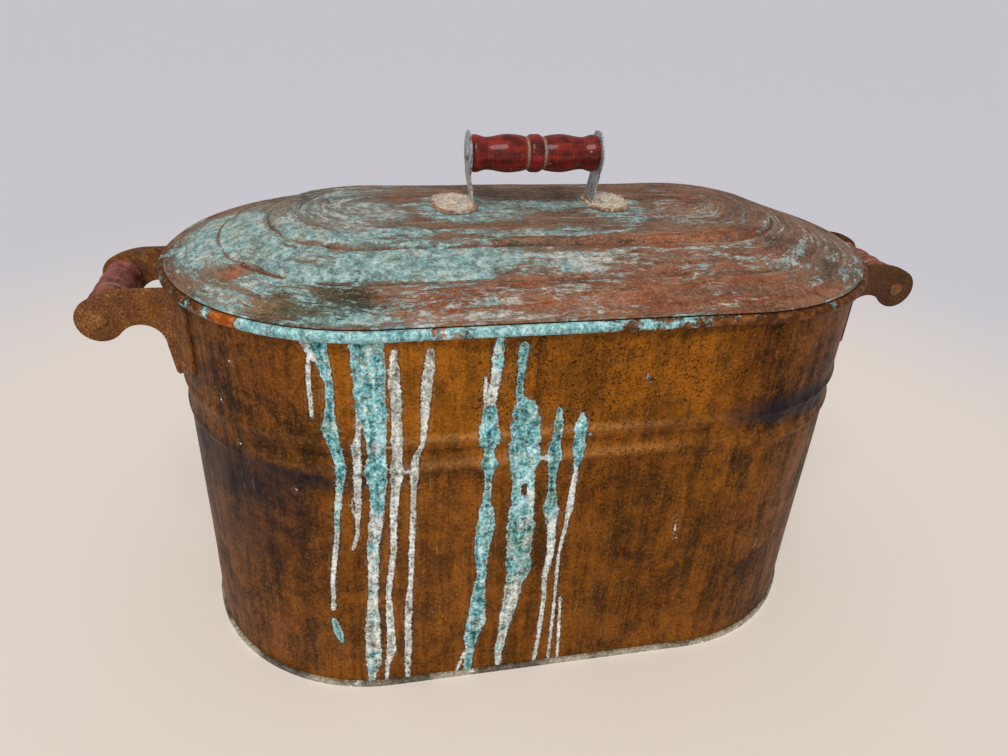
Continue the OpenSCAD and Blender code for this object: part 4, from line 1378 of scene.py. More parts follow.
    def paint_wall(self, mesh: bpy.types.Mesh, seed: float) -> None:
        """Paints the zones, pits, runs and the rim's crust on a wall."""
        points = places(mesh)
        x, y, z = points[:, 0], points[:, 1], points[:, 2]
        walk = self.oval.round_front(x, y) / MM
        is_front = y <= 0
        height = z / MM
        painter = Painter(walk, height, seed)
        colour = painter.tones("623b0e", WALL_TONES)
        # Painted highlights on the bead's ridges and painted shade in its hollows.
        self.paint_bead_highlights_and_shade(colour, height, walk)
        write_value(mesh, "blued", painter.amounts(0.0, WALL_HEAT))
        write_colour(mesh, "zone", colour)
        write_value(mesh, "pits", painter.amounts(0.45, WALL_PITS))
        edge, half, teal = painter.runs(RUNS)
        write_value(mesh, "run_half", half)
        write_value(mesh, "run_edge", np.where(is_front, edge, 99.0))
        ring = self.oval.ring(x, y)
        is_roll = (z > self.rim_z - self.rim_d / 2 - 0.5 * MM) & (ring > self.oval.end_r + 0.2 * MM)
        write_value(mesh, "run_teal", np.where(is_roll, 0.78, teal))
        rim = Painter(walk, np.zeros_like(walk), seed + 3)
        crust = np.where(is_roll, rim.amounts(0.3, RIM_CRUST), 0.0)
        under_rim = np.clip((height - 325) / 12, 0, 1) * (ring <= self.oval.end_r + 0.2 * MM)
        crust = np.maximum(crust, under_rim * 0.55 * rim.amounts(0.2, RIM_CRUST))
        foot = np.clip((9 - height) / 9, 0, 1) * 0.45
        write_value(mesh, "crust", np.maximum(crust, foot))
        write_value(mesh, "roll", is_roll.astype(float))
        write_value(mesh, "bare", np.where(is_roll, rim.amounts(0.08, RIM_BARE), 0.0))

    def paint_bead_highlights_and_shade(self, colour: np.ndarray, height: np.ndarray, walk: np.ndarray) -> None:
        """Paints light on the bead's ridges, partly rubbed wear and partly painted highlight, and painted shade in its
        groove and below its lower ridge.

        Args:
            colour: The wall's colours, which are changed.
            height: The points' heights, in millimetres.
            walk: Their distances round from the middle of the front.
        """
        middle = self.bead_z / MM
        # How strongly the ridges' painted highlights show: most across the middle of the front.
        highlight_share = 0.2 + 0.8 * np.clip((125 - np.abs(walk + 15)) / 50, 0, 1)
        # Offset from the bead's middle, reach, amount and colour: two painted highlights on the ridges' upper faces,
        # then painted shade in the groove and below the lower ridge.
        marks = (
            (13.3, 6.0, 0.5 * highlight_share, "dc9f62"),
            (-8.5, 6.0, 0.45 * highlight_share, "d99b5f"),
            (2.5, 5.5, 0.65, "28180c"),
            (-18.5, 4.5, 0.45, "28180c"),
        )
        for offset, reach, amount, tone in marks:
            near = np.clip(1 - np.abs(height - middle - offset) / reach, 0, 1)
            share = (amount * near * near * (3 - 2 * near))[:, None]
            colour[:] = colour * (1 - share) + np.array(paint(tone)) * share

    def build(self, nodes: dict[str, bpy.types.Object]) -> None:
        """Builds and dresses the tub.

        Args:
            nodes: The frame's nodes.
        """
        seat(self.front_wall(), "tub", Slot.WALL, "front_wall")
        seat(self.back_wall(), "tub", Slot.WALL, "back_wall")
        cover_node(nodes["bottom_panel"], self.palette.seam)
        cover_node(nodes["rim_wire"], self.palette.wire)


def cover_node(node: bpy.types.Object, material: bpy.types.Material) -> None:
    """Gives a node of the frame that keeps its shape its material."""
    node.data.materials.clear()
    node.data.materials.append(material)
    for face in node.data.polygons:
        face.material_index = 0


# ---------------------------------------------------------------------------
# Ears and side grips
# ---------------------------------------------------------------------------


@dataclass
class Ears:
    """The four stamped ears, folded from flat blanks, with their rivets and rods."""

    palette: Palette
    oval: Oval
    ear_t: float = 2.5 * MM
    bend_r: float = 3.5 * MM
    lobe_r: float = 17.5 * MM
    shoulder_r: float = 60 * MM
    leg_w: float = 9.5 * MM
    leg_taper: float = 3 * MM
    flange_corner_r: float = 9 * MM
    flange_slope_deg: float = 23.0
    seat_gap: float = 0.1 * MM
    grip_x: float = 337.5 * MM
    grip_z: float = 307.5 * MM
    foot_z: float = field(init=False)
    top_z: float = field(init=False)
    web_y: float = field(init=False)
    flange_y: float = field(init=False)

    def __post_init__(self) -> None:
        """Reads the ears' outer sizes from the frame."""
        low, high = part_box("right_back_ear")
        self.foot_z = low.z
        self.top_z = high.z
        self.web_y = low.y + self.ear_t / 2
        self.flange_y = high.y

    def fold(self) -> tuple[float, float, float, float]:
        """The fold between web and flange.

        Returns:
            The X of its centre, the sheet's middle radius at the wall, the angle that the fold
            turns through, and the angle round the wall's end where the flange starts.
        """
        middle_r = self.oval.end_r + self.seat_gap + self.ear_t / 2
        far = middle_r + self.bend_r
        centre_y = self.web_y + self.bend_r
        start = math.asin(centre_y / far)
        centre_x = self.oval.spine + far * math.cos(start)
        return centre_x, middle_r, math.pi / 2 - start, start

    def blank(self) -> list[Point]:
        """The flat blank: (distance out from the fold, height), the flange below 0."""
        fold_x, middle_r, turn, start = self.fold()
        lobe = (self.grip_x, self.grip_z)
        to_arch = 220.0
        wall_x = self.oval.spine + math.sqrt(self.oval.end_r**2 - self.web_y**2)
        leg_x = wall_x + self.leg_w
        reach = math.cos(math.radians(to_arch))
        arch_r = (self.grip_x - leg_x + self.lobe_r * reach) / (1 - reach)
        arch_c = (
            lobe[0] + (self.lobe_r + arch_r) * reach,
            lobe[1] + (self.lobe_r + arch_r) * math.sin(math.radians(to_arch)),
        )
        drop = self.grip_z + self.shoulder_r - self.top_z
        shoulder = (
            self.grip_x - math.sqrt((self.shoulder_r - self.lobe_r) ** 2 - drop**2),
            self.top_z - self.shoulder_r,
        )
        shoulder_end = math.degrees(math.atan2(lobe[1] - shoulder[1], lobe[0] - shoulder[0]))
        corner = 4 * MM
        foot_x = leg_x - self.leg_taper
        web = arc(shoulder, self.shoulder_r, 90, shoulder_end, 10)
        web += arc(lobe, self.lobe_r, shoulder_end, to_arch - 360, 40)[1:]
        web += arc(arch_c, arch_r, to_arch - 180, 180, 26)[1:]
        web += arc((foot_x - corner, self.foot_z + corner), corner, 0, -60, 5)
        points = [(0.0, self.top_z)] + [(x - fold_x, z) for x, z in web if x > fold_x] + [(0.0, self.foot_z)]

        def along(y: float) -> float:
            """Distance from the fold's start to the flange's point at y, below 0."""
            return -(self.bend_r * turn + middle_r * (math.asin(y / middle_r) - start))

        r = self.flange_corner_r
        out = self.flange_y - r
        slope = math.radians(self.flange_slope_deg)
        root_y = self.web_y - self.ear_t / 2
        low_z = self.foot_z + (out - root_y) * math.tan(slope) + r / math.cos(slope)
        flange = arc((out, low_z), r, self.flange_slope_deg - 90, 0, 8)
        flange += arc((out, self.top_z - r), r, 0, 90, 8)
        return points + [(along(y), z) for y, z in flange]

    def bent(self, u: float, z: float) -> Vector:
        """Where a point of the blank's middle lies in the back right ear."""
        fold_x, middle_r, turn, start = self.fold()
        if u >= 0:
            return Vector((fold_x + u, self.web_y, z))
        fold_length = self.bend_r * turn
        if -u <= fold_length:
            angle = -math.pi / 2 - (-u / self.bend_r)
            centre_y = self.web_y + self.bend_r
            return Vector((fold_x + self.bend_r * math.cos(angle), centre_y + self.bend_r * math.sin(angle), z))
        angle = start + (-u - fold_length) / middle_r
        return Vector((self.oval.spine + middle_r * math.cos(angle), middle_r * math.sin(angle), z))

    def shape(self, x_side: int, y_side: int) -> bmesh.types.BMesh:
        """One ear, folded, in its quarter.

        Args:
            x_side: 1 for the right, -1 for the left.
            y_side: 1 for the back, -1 for the front.

        Returns:
            The ear's mesh.
        """
        bm = bmesh.new()
        points = [bm.verts.new((u, 0.0, z)) for u, z in self.blank()]
        bm.faces.new(points)
        _, middle_r, turn, _ = self.fold()
        fold_length = self.bend_r * turn
        cuts = [-fold_length * i / 6 for i in range(7)]
        cuts += [-fold_length - 3.5 * MM * i for i in range(1, 11)]
        for cut in cuts:
            everything = bm.verts[:] + bm.edges[:] + bm.faces[:]
            bmesh.ops.bisect_plane(bm, geom=everything, dist=1e-7, plane_co=(cut, 0, 0), plane_no=(1, 0, 0))
        for vert in bm.verts:
            vert.co = self.bent(vert.co.x, vert.co.z)
        bm.normal_update()
        web = max(bm.faces, key=lambda face: face.calc_center_median().x)
        if web.normal.y < 0:
            bmesh.ops.reverse_faces(bm, faces=bm.faces)
        bm.normal_update()
        for vert in list(bm.verts):
            vert.co += vert.normal * self.ear_t / 2
        bmesh.ops.solidify(bm, geom=bm.faces[:], thickness=self.ear_t)
        bmesh.ops.recalc_face_normals(bm, faces=bm.faces)
        rims = [e for e in bm.edges if e.calc_face_angle(0.0) > math.radians(60)]
        bmesh.ops.bevel(
            bm, geom=rims, offset=0.55 * MM, offset_type="OFFSET", segments=2, profile=0.5,
            affect="EDGES", clamp_overlap=True, material=-1,
        )
        bmesh.ops.scale(bm, vec=(x_side, y_side, 1), verts=bm.verts)
        return bm

    def build(self, nodes: dict[str, bpy.types.Object]) -> None:
        """Builds and dresses the ears, their rivets and the rods.

        Args:
            nodes: The frame's nodes.
        """
        for x_name, x_side in (("left", -1), ("right", 1)):
            for y_name, y_side in (("front", -1), ("back", 1)):
                name = f"{x_name}_{y_name}_ear"
                metal = self.palette.left_ear if x_side < 0 else self.palette.right_ear
                ear = finished(self.shape(x_side, y_side), f"{name}_stamped", [metal])
                seat(ear, "tub", Slot.EAR, name)
                cover_node(nodes[f"{name}_rivets"], self.palette.rivet)
            cover_node(nodes[f"{x_name}_grip_rod"], self.palette.rivet)


@dataclass
class TurnedGrip:
    """A turned wooden grip, in the place of its node."""

    node: str
    body: str
    slot: Slot
    material: bpy.types.Material
    along_x: bool
    radius: float
    neck_r: float
    bore_r: float
    shoulder_in: float = 1.6 * MM
    groove_in: float = 0.5 * MM
    end_round: float = 1.5 * MM

    def profile(self, u: float, length: float) -> float:
        """The grip's radius at a distance from its middle.

        Args:
            u: The distance, from 0 to the half length.
            length: The half length.

        Returns:
            The radius.
        """
        bead, groove, bulge, neck, end = (length * share for share in (0.105, 0.16, 0.42, 0.76, 0.93))
        end_r = self.radius - self.end_round / 5
        full = self.radius
        if u < bead:
            found = full - self.shoulder_in * (u / bead) ** 4
        elif u < groove:
            turn = math.pi * (u - bead) / (groove - bead)
            found = full - self.shoulder_in - self.groove_in * math.sin(turn)
        elif u < bulge:
            found = full - self.shoulder_in * ((bulge - u) / (bulge - groove)) ** 2
        elif u < neck:
            found = self.neck_r + (full - self.neck_r) * (1 + math.cos(math.pi * (u - bulge) / (neck - bulge))) / 2
        elif u < end:
            found = self.neck_r + (end_r - self.neck_r) * (1 - math.cos(math.pi * (u - neck) / (end - neck))) / 2
        else:
            found = end_r - self.end_round * ((u - end) / (length - end)) ** 2
        return found

    def build(self) -> bpy.types.Object:
        """Builds the grip, with its bore, and paints its grooves.

        Returns:
            The grip, in place.
        """
        low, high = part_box(self.node)
        centre = (low + high) / 2
        half = ((high.x - low.x) if self.along_x else (high.y - low.y)) / 2
        axis = Vector((1, 0, 0)) if self.along_x else Vector((0, 1, 0))
        steps = 150
        stations = [half * (2 * i / steps - 1) for i in range(steps + 1)]
        outline = [(u, self.profile(abs(u), half)) for u in stations]
        outline += [(half, self.bore_r), (-half, self.bore_r)]
        bm = bmesh.new()
        points = [bm.verts.new(centre + axis * u + Vector((0, 0, r))) for u, r in outline]
        edges = [bm.edges.new((a, b)) for a, b in zip(points, points[1:] + points[:1])]
        bmesh.ops.spin(
            bm, geom=points + edges, cent=centre, axis=axis, dvec=(0, 0, 0), angle=2 * math.pi,
            steps=72, use_merge=True, use_duplicate=False,
        )
        grip = finished(bm, f"{self.node}_turned", [self.material])
        where = places(grip.data)
        u = np.abs((where - np.array(centre)) @ np.array(axis))
        groove = np.clip(1.25 - np.abs(u - 0.133 * half) / (1.2 * MM), 0, 1)
        write_value(grip.data, "groove", groove)
        seat(grip, self.body, self.slot, self.node)
        return grip


# ---------------------------------------------------------------------------
# The lid
# ---------------------------------------------------------------------------


LID_TONES = (
    Patch((140, 120), (150, 45), 0.8, "60402f"),
    Patch((-120, 120), (130, 45), 0.7, "5a5048"),
    Patch((-110, -96), (115, 24), 0.8, "4f5a52"),
    Patch((-30, -138), (115, 24), 0.95, "a05c36"),
    Patch((120, -134), (100, 26), 0.9, "84492a"),
    Patch((-118, -132), (30, 14), 0.7, "a4552b"),
    Patch((-172, -134), (56, 26), 1.0, "2f3420"),
    Patch((-205, -124), (40, 16), 0.6, "5a5b40"),
    Patch((-245, -100), (30, 28), 0.8, "8b8a70"),
    Patch((-240, -10), (52, 66), 0.95, "858d7e"),
    Patch((-235, -75), (15, 15), 0.9, "8a432a"),
    Patch((-285, -8), (12, 20), 0.8, "64432b"),
    Patch((-155, -10), (52, 52), 0.9, "84857d"),
    Patch((-150, 50), (62, 25), 0.6, "74726a"),
    Patch((-100, 22), (17, 26), 0.85, "6e4a3b"),
    Patch((0, 36), (62, 22), 0.85, "4c4539"),
    Patch((0, -44), (75, 22), 0.75, "73553f"),
    Patch((125, 28), (62, 46), 0.95, "663f2c"),
    Patch((135, -25), (36, 36), 0.5, "80634f"),
    Patch((105, -70), (85, 7), 0.95, "a0552a"),
    Patch((70, -36), (32, 22), 0.6, "703f2c"),
    Patch((20, -96), (62, 20), 0.85, "96522e"),
    Patch((125, -98), (90, 22), 0.9, "864a2b"),
    Patch((235, -15), (48, 72), 0.8, "775c4a"),
    Patch((238, -108), (32, 28), 0.8, "5c553f"),
)

LID_CRUST = (
    Patch((-112, -95), (110, 22), 0.98),
    Patch((20, -97), (65, 18), 0.7),
    Patch((135, -98), (110, 20), 0.54),
    Patch((-190, -62), (42, 40), 0.78),
    Patch((-128, -62), (46, 15), 0.8),
    Patch((-245, -8), (36, 60), 0.92),
    Patch((-232, -100), (34, 30), 0.62),
    Patch((-20, -138), (110, 20), 0.52),
    Patch((-80, -136), (48, 15), 0.58),
    Patch((-172, -134), (50, 22), 0.42),
    Patch((-160, -150), (90, 9), 0.66),
    Patch((120, -138), (100, 16), 0.34),
    Patch((235, -60), (42, 50), 0.5),
    Patch((235, 20), (42, 40), 0.35),
    Patch((-155, -15), (50, 44), 0.66),
    Patch((-150, 50), (60, 26), 0.58),
    Patch((-10, -61), (80, 8), 0.66),
    Patch((0, 0), (55, 15), 0.72),
    Patch((-35, -24), (40, 14), 0.62),
    Patch((130, -28), (40, 34), 0.5),
    Patch((80, -80), (80, 6), 0.25),
    Patch((0, 40), (58, 18), 0.2),
    Patch((125, 35), (55, 26), 0.3),
    Patch((-235, -76), (12, 11), 0.1),
    Patch((-110, 22), (15, 20), 0.3),
    Patch((-66, -4), (30, 42), 0.78),
    Patch((68, -6), (30, 42), 0.78),
)

LID_TEAL = (
    Patch((-20, -138), (110, 22), 0.12),
    Patch((105, -100), (125, 44), 0.42),
    Patch((120, -136), (110, 20), 0.1),
    Patch((-80, -136), (36, 13), 0.5),
    Patch((-155, -15), (55, 45), 0.42),
    Patch((-155, 55), (60, 25), 0.4),
    Patch((-245, -5), (40, 60), 0.6),
    Patch((-238, -108), (38, 28), 0.6),
    Patch((-165, -130), (52, 26), 0.85),
    Patch((135, -25), (40, 40), 0.35),
    Patch((235, -20), (45, 75), 0.3),
)

LID_RED = (
    Patch((-30, -138), (130, 22), 0.85),
    Patch((120, -110), (120, 46), 0.85),
    Patch((30, -96), (70, 18), 0.85),
    Patch((120, 20), (70, 55), 0.7),
    Patch((-168, -136), (42, 24), 0.1),
    Patch((-155, 0), (60, 60), 0.15),
)


@dataclass
class Lid:
    """The loose lid: its stepped sheet, its skirt and the burrs of the handle's rivets."""

    palette: Palette
    oval: Oval
    sheet: float = 0.6 * MM
    fold_gap: float = 0.12 * MM
    skirt_r: float = 152.9 * MM
    outer_step_r: float = 115 * MM
    inner_step_r: float = 77 * MM
    panel_r: float = 72 * MM
    outer_rise: float = 13.7 * MM
    inner_rise: float = 12 * MM
    panel_rise: float = 3.6 * MM
    crown_rise: float = 3.4 * MM
    band_round: float = 0.35
    brim_r: float = field(init=False)
    brim_z: float = field(init=False)
    top_z: float = field(init=False)

    def __post_init__(self) -> None:
        """Reads the lid's outer sizes from the frame."""
        low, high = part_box("lid_panel")
        self.brim_r = high.y
        self.brim_z = low.z
        self.top_z = high.z

    @property
    def brim_t(self) -> float:
        """Thickness of the folded brim."""
        return 3 * self.sheet + 2 * self.fold_gap

    def height(self, r: float) -> float:
        """The lid's top at a distance from the spine, with a crease at each step."""
        brim_top = self.brim_z + self.brim_t
        fold_r = self.skirt_r - 1 * MM
        outer_z = brim_top + self.outer_rise
        inner_z = outer_z + self.inner_rise

        def band(z: float, rise: float, share: float) -> float:
            """Height of a band, a little rounded."""
            return z + rise * (share + self.band_round * share * (1 - share))

        if r >= fold_r:
            found = brim_top
        elif r > self.outer_step_r:
            found = band(brim_top, self.outer_rise, (fold_r - r) / (fold_r - self.outer_step_r))
        elif r > self.inner_step_r:
            share = (self.outer_step_r - r) / (self.outer_step_r - self.inner_step_r)
            found = band(outer_z, self.inner_rise, share)
        elif r > self.panel_r:
            turn = math.pi / 2 * (self.inner_step_r - r) / (self.inner_step_r - self.panel_r)
            found = inner_z + self.panel_rise * math.sin(turn)
        else:
            found = self.top_z - self.crown_rise * (r / self.panel_r) ** 2
        for step_r, depth in ((self.outer_step_r + 1.5 * MM, 1.0 * MM), (self.inner_step_r + 1.5 * MM, 0.9 * MM)):
            near = max(0.0, 1 - abs(r - step_r) / (2.6 * MM))
            found -= depth * near * near * (3 - 2 * near)
        return found

    def section(self) -> list[Point]:
        """The sheet's closed cross-section, from the fold under the brim up to the middle and back."""
        stations = {0.0, self.skirt_r - 1 * MM, self.brim_r - 1 * MM}
        stations |= {2.1 * MM * i for i in range(1, 73)}
        for step_r in (self.outer_step_r, self.inner_step_r, self.panel_r):
            stations |= {step_r + 0.8 * MM * i for i in range(-4, 7)}
        top = [(r, self.height(r)) for r in sorted(stations) if r <= self.brim_r - 1 * MM]
        below = [(r, z - self.sheet) for r, z in top[::3] + [(self.brim_r - self.sheet, self.brim_z + self.brim_t)]]
        middle = self.brim_z + self.brim_t / 2
        edge = arc((self.brim_r - self.brim_t / 2, middle), self.brim_t / 2, 90, -90, 8)
        flange_r = self.skirt_r + self.fold_gap
        under = [
            (flange_r, self.brim_z),
            (flange_r, self.brim_z + self.sheet),
            (self.brim_r - self.sheet, self.brim_z + self.sheet),
        ]
        return top + edge + under + below[::-1]

    def panel(self) -> bpy.types.Object:
        """The stepped sheet, dented as an old lid is.

        Returns:
            The sheet, painted and in place.
        """
        sweep = Sweep()
        oval = self.oval
        sweep.start(self.section(), oval.spine, (0.0, -1.0))
        sweep.straight(-2 * oval.spine, 76)
        sweep.turn(-oval.spine, -math.pi, 132)
        sweep.straight(2 * oval.spine, 76)
        sweep.turn(oval.spine, -math.pi, 132)
        bm = sweep.bm
        bmesh.ops.remove_doubles(bm, verts=bm.verts, dist=2e-6)
        bmesh.ops.recalc_face_normals(bm, faces=bm.faces)
        for face in bm.faces:
            face.material_index = 1 if face.normal.z < -0.2 else 0
        lid = finished(bm, "lid_sheet", [self.palette.lid, self.palette.under_lid], 50.0)
        self.dent(lid.data)
        self.paint_lid(lid.data)
        return lid

    def dent(self, mesh: bpy.types.Mesh) -> None:
        """Moves the sheet down in soft dents, none at the brim or under the handle."""
        points = places(mesh)
        x, y, z = points[:, 0], points[:, 1], points[:, 2]
        ring = self.oval.ring(x, y)
        slow = np.array([noise.noise(Vector((a * 11, b * 11, 2.3))) for a, b in zip(x, y)])
        small = np.array([noise.noise(Vector((a * 33, b * 33, 7.7))) for a, b in zip(x, y)])
        rim_fade = np.clip((self.skirt_r - 3 * MM - ring) / (14 * MM), 0, 1)
        handle = np.minimum(np.hypot((np.abs(x) - 65 * MM) / 1.0, y * 0.7), 1.0)
        seat_fade = np.clip((handle - 20 * MM) / (20 * MM), 0, 1)
        move = (1.1 * slow + 0.45 * small - 0.75) * MM
        points[:, 2] = z + np.minimum(move, 0.0) * rim_fade * seat_fade
        mesh.vertices.foreach_set("co", points.ravel())

    def paint_lid(self, mesh: bpy.types.Mesh) -> None:
        """Paints the lid's zones and where the salts have grown."""
        points = places(mesh)
        x, y = points[:, 0] / MM, points[:, 1] / MM
        painter = Painter(x, y, 9.4, 9.0)
        ring = self.oval.ring(points[:, 0], points[:, 1]) / MM
        colour = painter.tones("684436", LID_TONES)
        # Painted highlights and painted shade along the steps' creases.
        self.paint_crease_light_and_shade(colour, ring, x, y)
        write_colour(mesh, "zone", colour)
        crust = painter.amounts(0.36, LID_CRUST)
        # Thins the salts along each crease so that the painted shade there shows.
        broken = np.array([noise.noise(Vector((a * 0.05, b * 0.05, 3.1))) for a, b in zip(x, y)])
        for crease in (self.inner_step_r, self.outer_step_r):
            near = np.clip(1.3 - np.abs(ring - crease / MM - 0.9) / 1.3, 0, 1)
            crust *= 1 - 0.7 * near * np.clip(0.6 + 1.6 * broken, 0, 1)
        brim = np.clip((ring - 150) / 5, 0, 1)
        write_value(mesh, "crust", np.maximum(crust, 0.45 * brim))
        write_value(mesh, "teal", painter.amounts(0.75, LID_TEAL))
        write_value(mesh, "red", painter.amounts(0.4, LID_RED))

    def paint_crease_light_and_shade(self, colour: np.ndarray, ring: np.ndarray, x: np.ndarray, y: np.ndarray) -> None:
        """Paints a highlight beside each step's crease and painted shade in the crease, here and there.

        Args:
            colour: The lid's colours, which are changed.
            ring: The points' distances from the spine, in millimetres.
            x: Their places along the boiler.
            y: Their places across it.
        """
        patchy = np.array([noise.noise(Vector((a * 0.02, b * 0.02, 5.5))) for a, b in zip(x, y)])
        often = np.clip(0.7 + 1.2 * patchy, 0.0, 1.0)
        inner, outer = self.inner_step_r / MM, self.outer_step_r / MM
        # Ring, reach, amount and colour: a painted highlight beside each step's crease and painted shade in the crease.
        marks = (
            (inner + 3.4, 2.4, 0.55, "c4bcaa"),
            (inner + 0.8, 1.9, 0.8, "241a13"),
            (outer + 4.0, 2.2, 0.4, "b5ad9a"),
            (outer + 1.4, 1.8, 0.75, "2a1a12"),
        )
        for middle, reach, amount, tone in marks:
            near = np.clip(1 - np.abs(ring - middle) / reach, 0, 1)
            share = (amount * often * near * near * (3 - 2 * near))[:, None]
            colour[:] = colour * (1 - share) + np.array(paint(tone)) * share

    def build(self, nodes: dict[str, bpy.types.Object]) -> None:
        """Builds and dresses the lid.

        Args:
            nodes: The frame's nodes.
        """
        seat(self.panel(), "lid", Slot.LID, "lid_panel")
        cover_node(nodes["lid_skirt"], self.palette.skirt)
        cover_node(nodes["lid_rivet_burrs"], self.palette.skirt)


@dataclass
class Straps:
    """The two straps of the lid handle, each a folded leg with an end plate, and an oval foot."""

    palette: Palette
    strap_t: float = 1.5 * MM
    strap_w: float = 23 * MM
    plate_d: float = 36 * MM
    plate_x: float = 53 * MM
    lean: float = 3.5 * MM
    foot_x: float = 65 * MM
    foot_longer: float = 17 * MM
    foot_w: float = 37 * MM
    axis_z: float = field(init=False)
    foot_z: float = field(init=False)

    def __post_init__(self) -> None:
        """Reads the straps' ends from the frame."""
        low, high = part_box("lid_right_strap")
        self.foot_z = low.z
        self.axis_z = high.z - self.plate_d / 2

    def line(self) -> list[Point]:
        """The leg's middle line, as (x, z), from the plate's top down and out on to the foot."""
        half_t = self.strap_t / 2
        top = (self.plate_x + half_t, self.axis_z + self.plate_d / 2)
        knee_z = self.axis_z - self.plate_d / 2 + 1 * MM
        toe_z = self.foot_z + half_t + 0.3 * MM
        foot_x = self.plate_x - self.lean + half_t
        bend = 3.2 * MM
        turns = arc((foot_x + bend, toe_z + bend), bend, 184, 270, 8)
        return [top, (top[0], knee_z)] + turns + [(foot_x + 9 * MM, toe_z)]

    def leg(self, bm: bmesh.types.BMesh) -> None:
        """Adds the end plate and the leg, cut as one blank and folded."""
        line = [Vector((x, 0, z)) for x, z in self.line()]
        marks = [0.0]
        for a, b in zip(line, line[1:]):
            marks.append(marks[-1] + (b - a).length)
        disc_r = self.plate_d / 2
        half_w = self.strap_w / 2
        join = math.degrees(math.asin(half_w / disc_r))
        outline = arc((disc_r, 0.0), disc_r, join, 360 - join, 44)
        toe = marks[-1]
        outline += arc((toe - 5 * MM, -half_w + 5 * MM), 5 * MM, -90, 0, 4)
        outline += arc((toe - 5 * MM, half_w - 5 * MM), 5 * MM, 0, 90, 4)
        made = [bm.verts.new((u, w, 0)) for u, w in outline]
        bm.faces.new(made)
        for cut in marks[1:-1]:
            everything = bm.verts[:] + bm.edges[:] + bm.faces[:]
            bmesh.ops.bisect_plane(bm, geom=everything, dist=1e-7, plane_co=(cut, 0, 0), plane_no=(1, 0, 0))
        for vert in bm.verts:
            u = vert.co.x
            index = max(i for i in range(len(marks) - 1) if marks[i] <= u + 1e-9)
            share = (u - marks[index]) / (marks[index + 1] - marks[index])
            on_line = line[index].lerp(line[index + 1], share)
            vert.co = Vector((on_line.x, vert.co.y, on_line.z))
        bm.normal_update()
        for vert in list(bm.verts):
            vert.co += vert.normal * self.strap_t / 2
        bmesh.ops.solidify(bm, geom=bm.faces[:], thickness=self.strap_t)
        bmesh.ops.recalc_face_normals(bm, faces=bm.faces)
        rims = [e for e in bm.edges if e.calc_face_angle(0.0) > math.radians(60)]
        bmesh.ops.bevel(
            bm, geom=rims, offset=0.4 * MM, offset_type="OFFSET", segments=2, profile=0.5,
            affect="EDGES", clamp_overlap=True, material=-1,
        )

    def foot(self) -> bmesh.types.BMesh:
        """The oval foot, its edge rolled up and crusted."""
        sweep = Sweep()
        r = self.foot_w / 2
        t = self.strap_t
        z = self.foot_z
        section = [
            (0.0, z + t), (6 * MM, z + t), (10 * MM, z + t), (13 * MM, z + t + 0.1 * MM),
            (15.3 * MM, z + t + 0.7 * MM), (17 * MM, z + t + 1.0 * MM), (18.1 * MM, z + t + 0.6 * MM),
            (r, z + t - 0.3 * MM), (r, z + 0.2 * MM), (r - 0.4 * MM, z), (0.0, z),
        ]
        half = self.foot_longer / 2
        sweep.start(section, half, (0.0, -1.0))
        sweep.straight(-2 * half, 12)
        sweep.turn(-half, -math.pi, 36)
        sweep.straight(2 * half, 12)
        sweep.turn(half, -math.pi, 36)
        bm = sweep.bm
        bmesh.ops.remove_doubles(bm, verts=bm.verts, dist=2e-6)
        bmesh.ops.rotate(bm, verts=bm.verts, cent=(0, 0, 0), matrix=Matrix.Rotation(math.pi / 2, 3, "Z"))
        for vert in bm.verts:
            if vert.co.z > z + 0.6 * t:
                lump = noise.noise(vert.co * 260) * 0.35 * MM + noise.noise(vert.co * 90) * 0.3 * MM
                vert.co.z += lump
        bmesh.ops.translate(bm, verts=bm.verts, vec=(self.foot_x, 0, 0))
        return bm

    def build(self, nodes: dict[str, bpy.types.Object]) -> None:
        """Builds and dresses the straps, their rivets and the rod.

        Args:
            nodes: The frame's nodes.
        """
        for name, side in (("left", -1), ("right", 1)):
            bm = bmesh.new()
            self.leg(bm)
            foot = self.foot()
            spare = bpy.data.meshes.new("foot")
            foot.to_mesh(spare)
            foot.free()
            bm.from_mesh(spare)
            bpy.data.meshes.remove(spare)
            bmesh.ops.scale(bm, vec=(side, 1, 1), verts=bm.verts)
            metal = self.palette.left_strap if side < 0 else self.palette.right_strap
            strap = finished(bm, f"lid_{name}_strap_folded", [metal])
            self.paint_edge(strap.data)
            seat(strap, "lid", Slot.STRAP, f"lid_{name}_strap")
        cover_node(nodes["lid_strap_rivets"], self.palette.left_strap)
        cover_node(nodes["lid_grip_rod"], self.palette.left_strap)

    def paint_edge(self, mesh: bpy.types.Mesh) -> None:
        """Paints where the foot's edge is, which rusts first."""
        points = places(mesh)
        across = np.maximum(np.abs(points[:, 1]) - self.foot_longer / 2, 0.0)
        far = np.hypot(np.abs(points[:, 0]) - self.foot_x, across)
        write_value(mesh, "edge", np.clip((far - 13 * MM) / (4 * MM), 0, 1))


# ---------------------------------------------------------------------------
# The stage
# ---------------------------------------------------------------------------


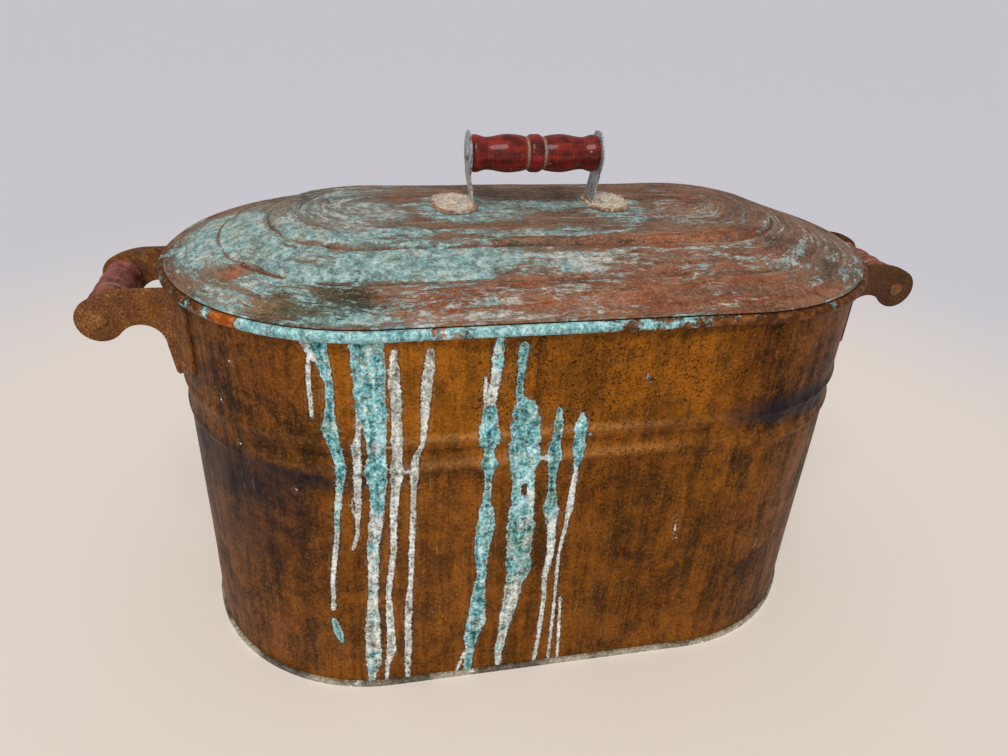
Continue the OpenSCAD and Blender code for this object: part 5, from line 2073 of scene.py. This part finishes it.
@dataclass
class Studio:
    """A plain pale floor, soft light and the camera."""

    effects: Effects
    lens_mm: float = 27.7
    yaw_deg: float = 12.91
    pitch_deg: float = 29.43
    roll_deg: float = 3.09
    place: tuple[float, float, float] = (-0.15657, -0.61865, 0.56896)
    floor_half: float = 14.0

    def camera(self) -> None:
        """Puts the camera where the photographer stood."""
        yaw, pitch, roll = (math.radians(a) for a in (self.yaw_deg, self.pitch_deg, self.roll_deg))
        ahead = Vector((math.sin(yaw) * math.cos(pitch), math.cos(yaw) * math.cos(pitch), -math.sin(pitch)))
        right = Vector((math.cos(yaw), -math.sin(yaw), 0))
        up = right.cross(ahead)
        across = right * math.cos(roll) + up * math.sin(roll)
        above = up * math.cos(roll) - right * math.sin(roll)
        data = bpy.data.cameras.new("camera")
        data.lens = self.lens_mm
        data.sensor_width = 36.0
        data.clip_start = 0.01
        data.clip_end = 60.0
        made = bpy.data.objects.new("camera", data)
        turn = Matrix((across, above, -ahead)).transposed()
        made.matrix_world = Matrix.Translation(Vector(self.place)) @ turn.to_4x4()
        bpy.context.scene.collection.objects.link(made)
        bpy.context.scene.camera = made

    def floor(self) -> None:
        """Lays the floor."""
        bm = bmesh.new()
        bmesh.ops.create_grid(bm, x_segments=2, y_segments=2, size=self.floor_half)
        floor = finished(bm, "floor", [StudioFloor("studio_floor").material(self.effects)])

    def lamp(self, name: str, place: tuple, aim: tuple, size: float, watts: float) -> None:
        """Hangs a square soft lamp.

        Args:
            name: The lamp's name.
            place: Where it hangs.
            aim: The point that it faces.
            size: Its side, in metres.
            watts: Its power.
        """
        data = bpy.data.lights.new(name, "AREA")
        data.shape = "SQUARE"
        data.size = size
        data.energy = watts
        made = bpy.data.objects.new(name, data)
        made.location = place
        made.rotation_euler = (Vector(aim) - Vector(place)).to_track_quat("-Z", "Y").to_euler()
        bpy.context.scene.collection.objects.link(made)

    def light(self) -> None:
        """Lights the boiler softly from all round, and more from above and the front left."""
        world = bpy.data.worlds.new("studio")
        bpy.context.scene.world = world
        world.use_nodes = True
        back = world.node_tree.nodes["Background"]
        back.inputs["Color"].default_value = (1.0, 0.99, 0.98, 1.0)
        back.inputs["Strength"].default_value = 0.46
        sky = bpy.data.lights.new("sky", "SUN")
        sky.energy = 1.7
        sky.angle = math.radians(32)
        made = bpy.data.objects.new("sky", sky)
        made.rotation_euler = (Vector((0, 0, 0)) - Vector((-0.3, -0.95, 1.35))).to_track_quat("-Z", "Y").to_euler()
        bpy.context.scene.collection.objects.link(made)
        self.lamp("window", (-0.5, -1.25, 0.95), (0, 0, 0.35), 0.22, 2.4)
        bpy.context.scene.view_settings.view_transform = "Standard"

    def build(self) -> None:
        """Sets up the stage."""
        self.camera()
        self.floor()
        self.light()


# ---------------------------------------------------------------------------


def main() -> None:
    """Builds the whole boiler around the frame."""
    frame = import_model()
    nodes = frame["nodes"]
    effects = Effects()
    palette = Palette(effects)
    Studio(effects).build()
    tub = Tub(palette)
    tub.build(nodes)
    Ears(palette, tub.oval).build(nodes)
    for side in ("left", "right"):
        TurnedGrip(
            f"{side}_grip", f"{side}_grip", Slot.SIDE_WOOD, palette.side_wood, False,
            radius=14.75 * MM, neck_r=13 * MM, bore_r=3.06 * MM,
        ).build()
    Lid(palette, tub.oval).build(nodes)
    Straps(palette).build(nodes)
    TurnedGrip(
        "lid_grip", "lid_grip", Slot.LID_WOOD, palette.lid_wood, True,
        radius=15 * MM, neck_r=12.75 * MM, bore_r=2.56 * MM,
    ).build()


if __name__ == "__main__":
    main()
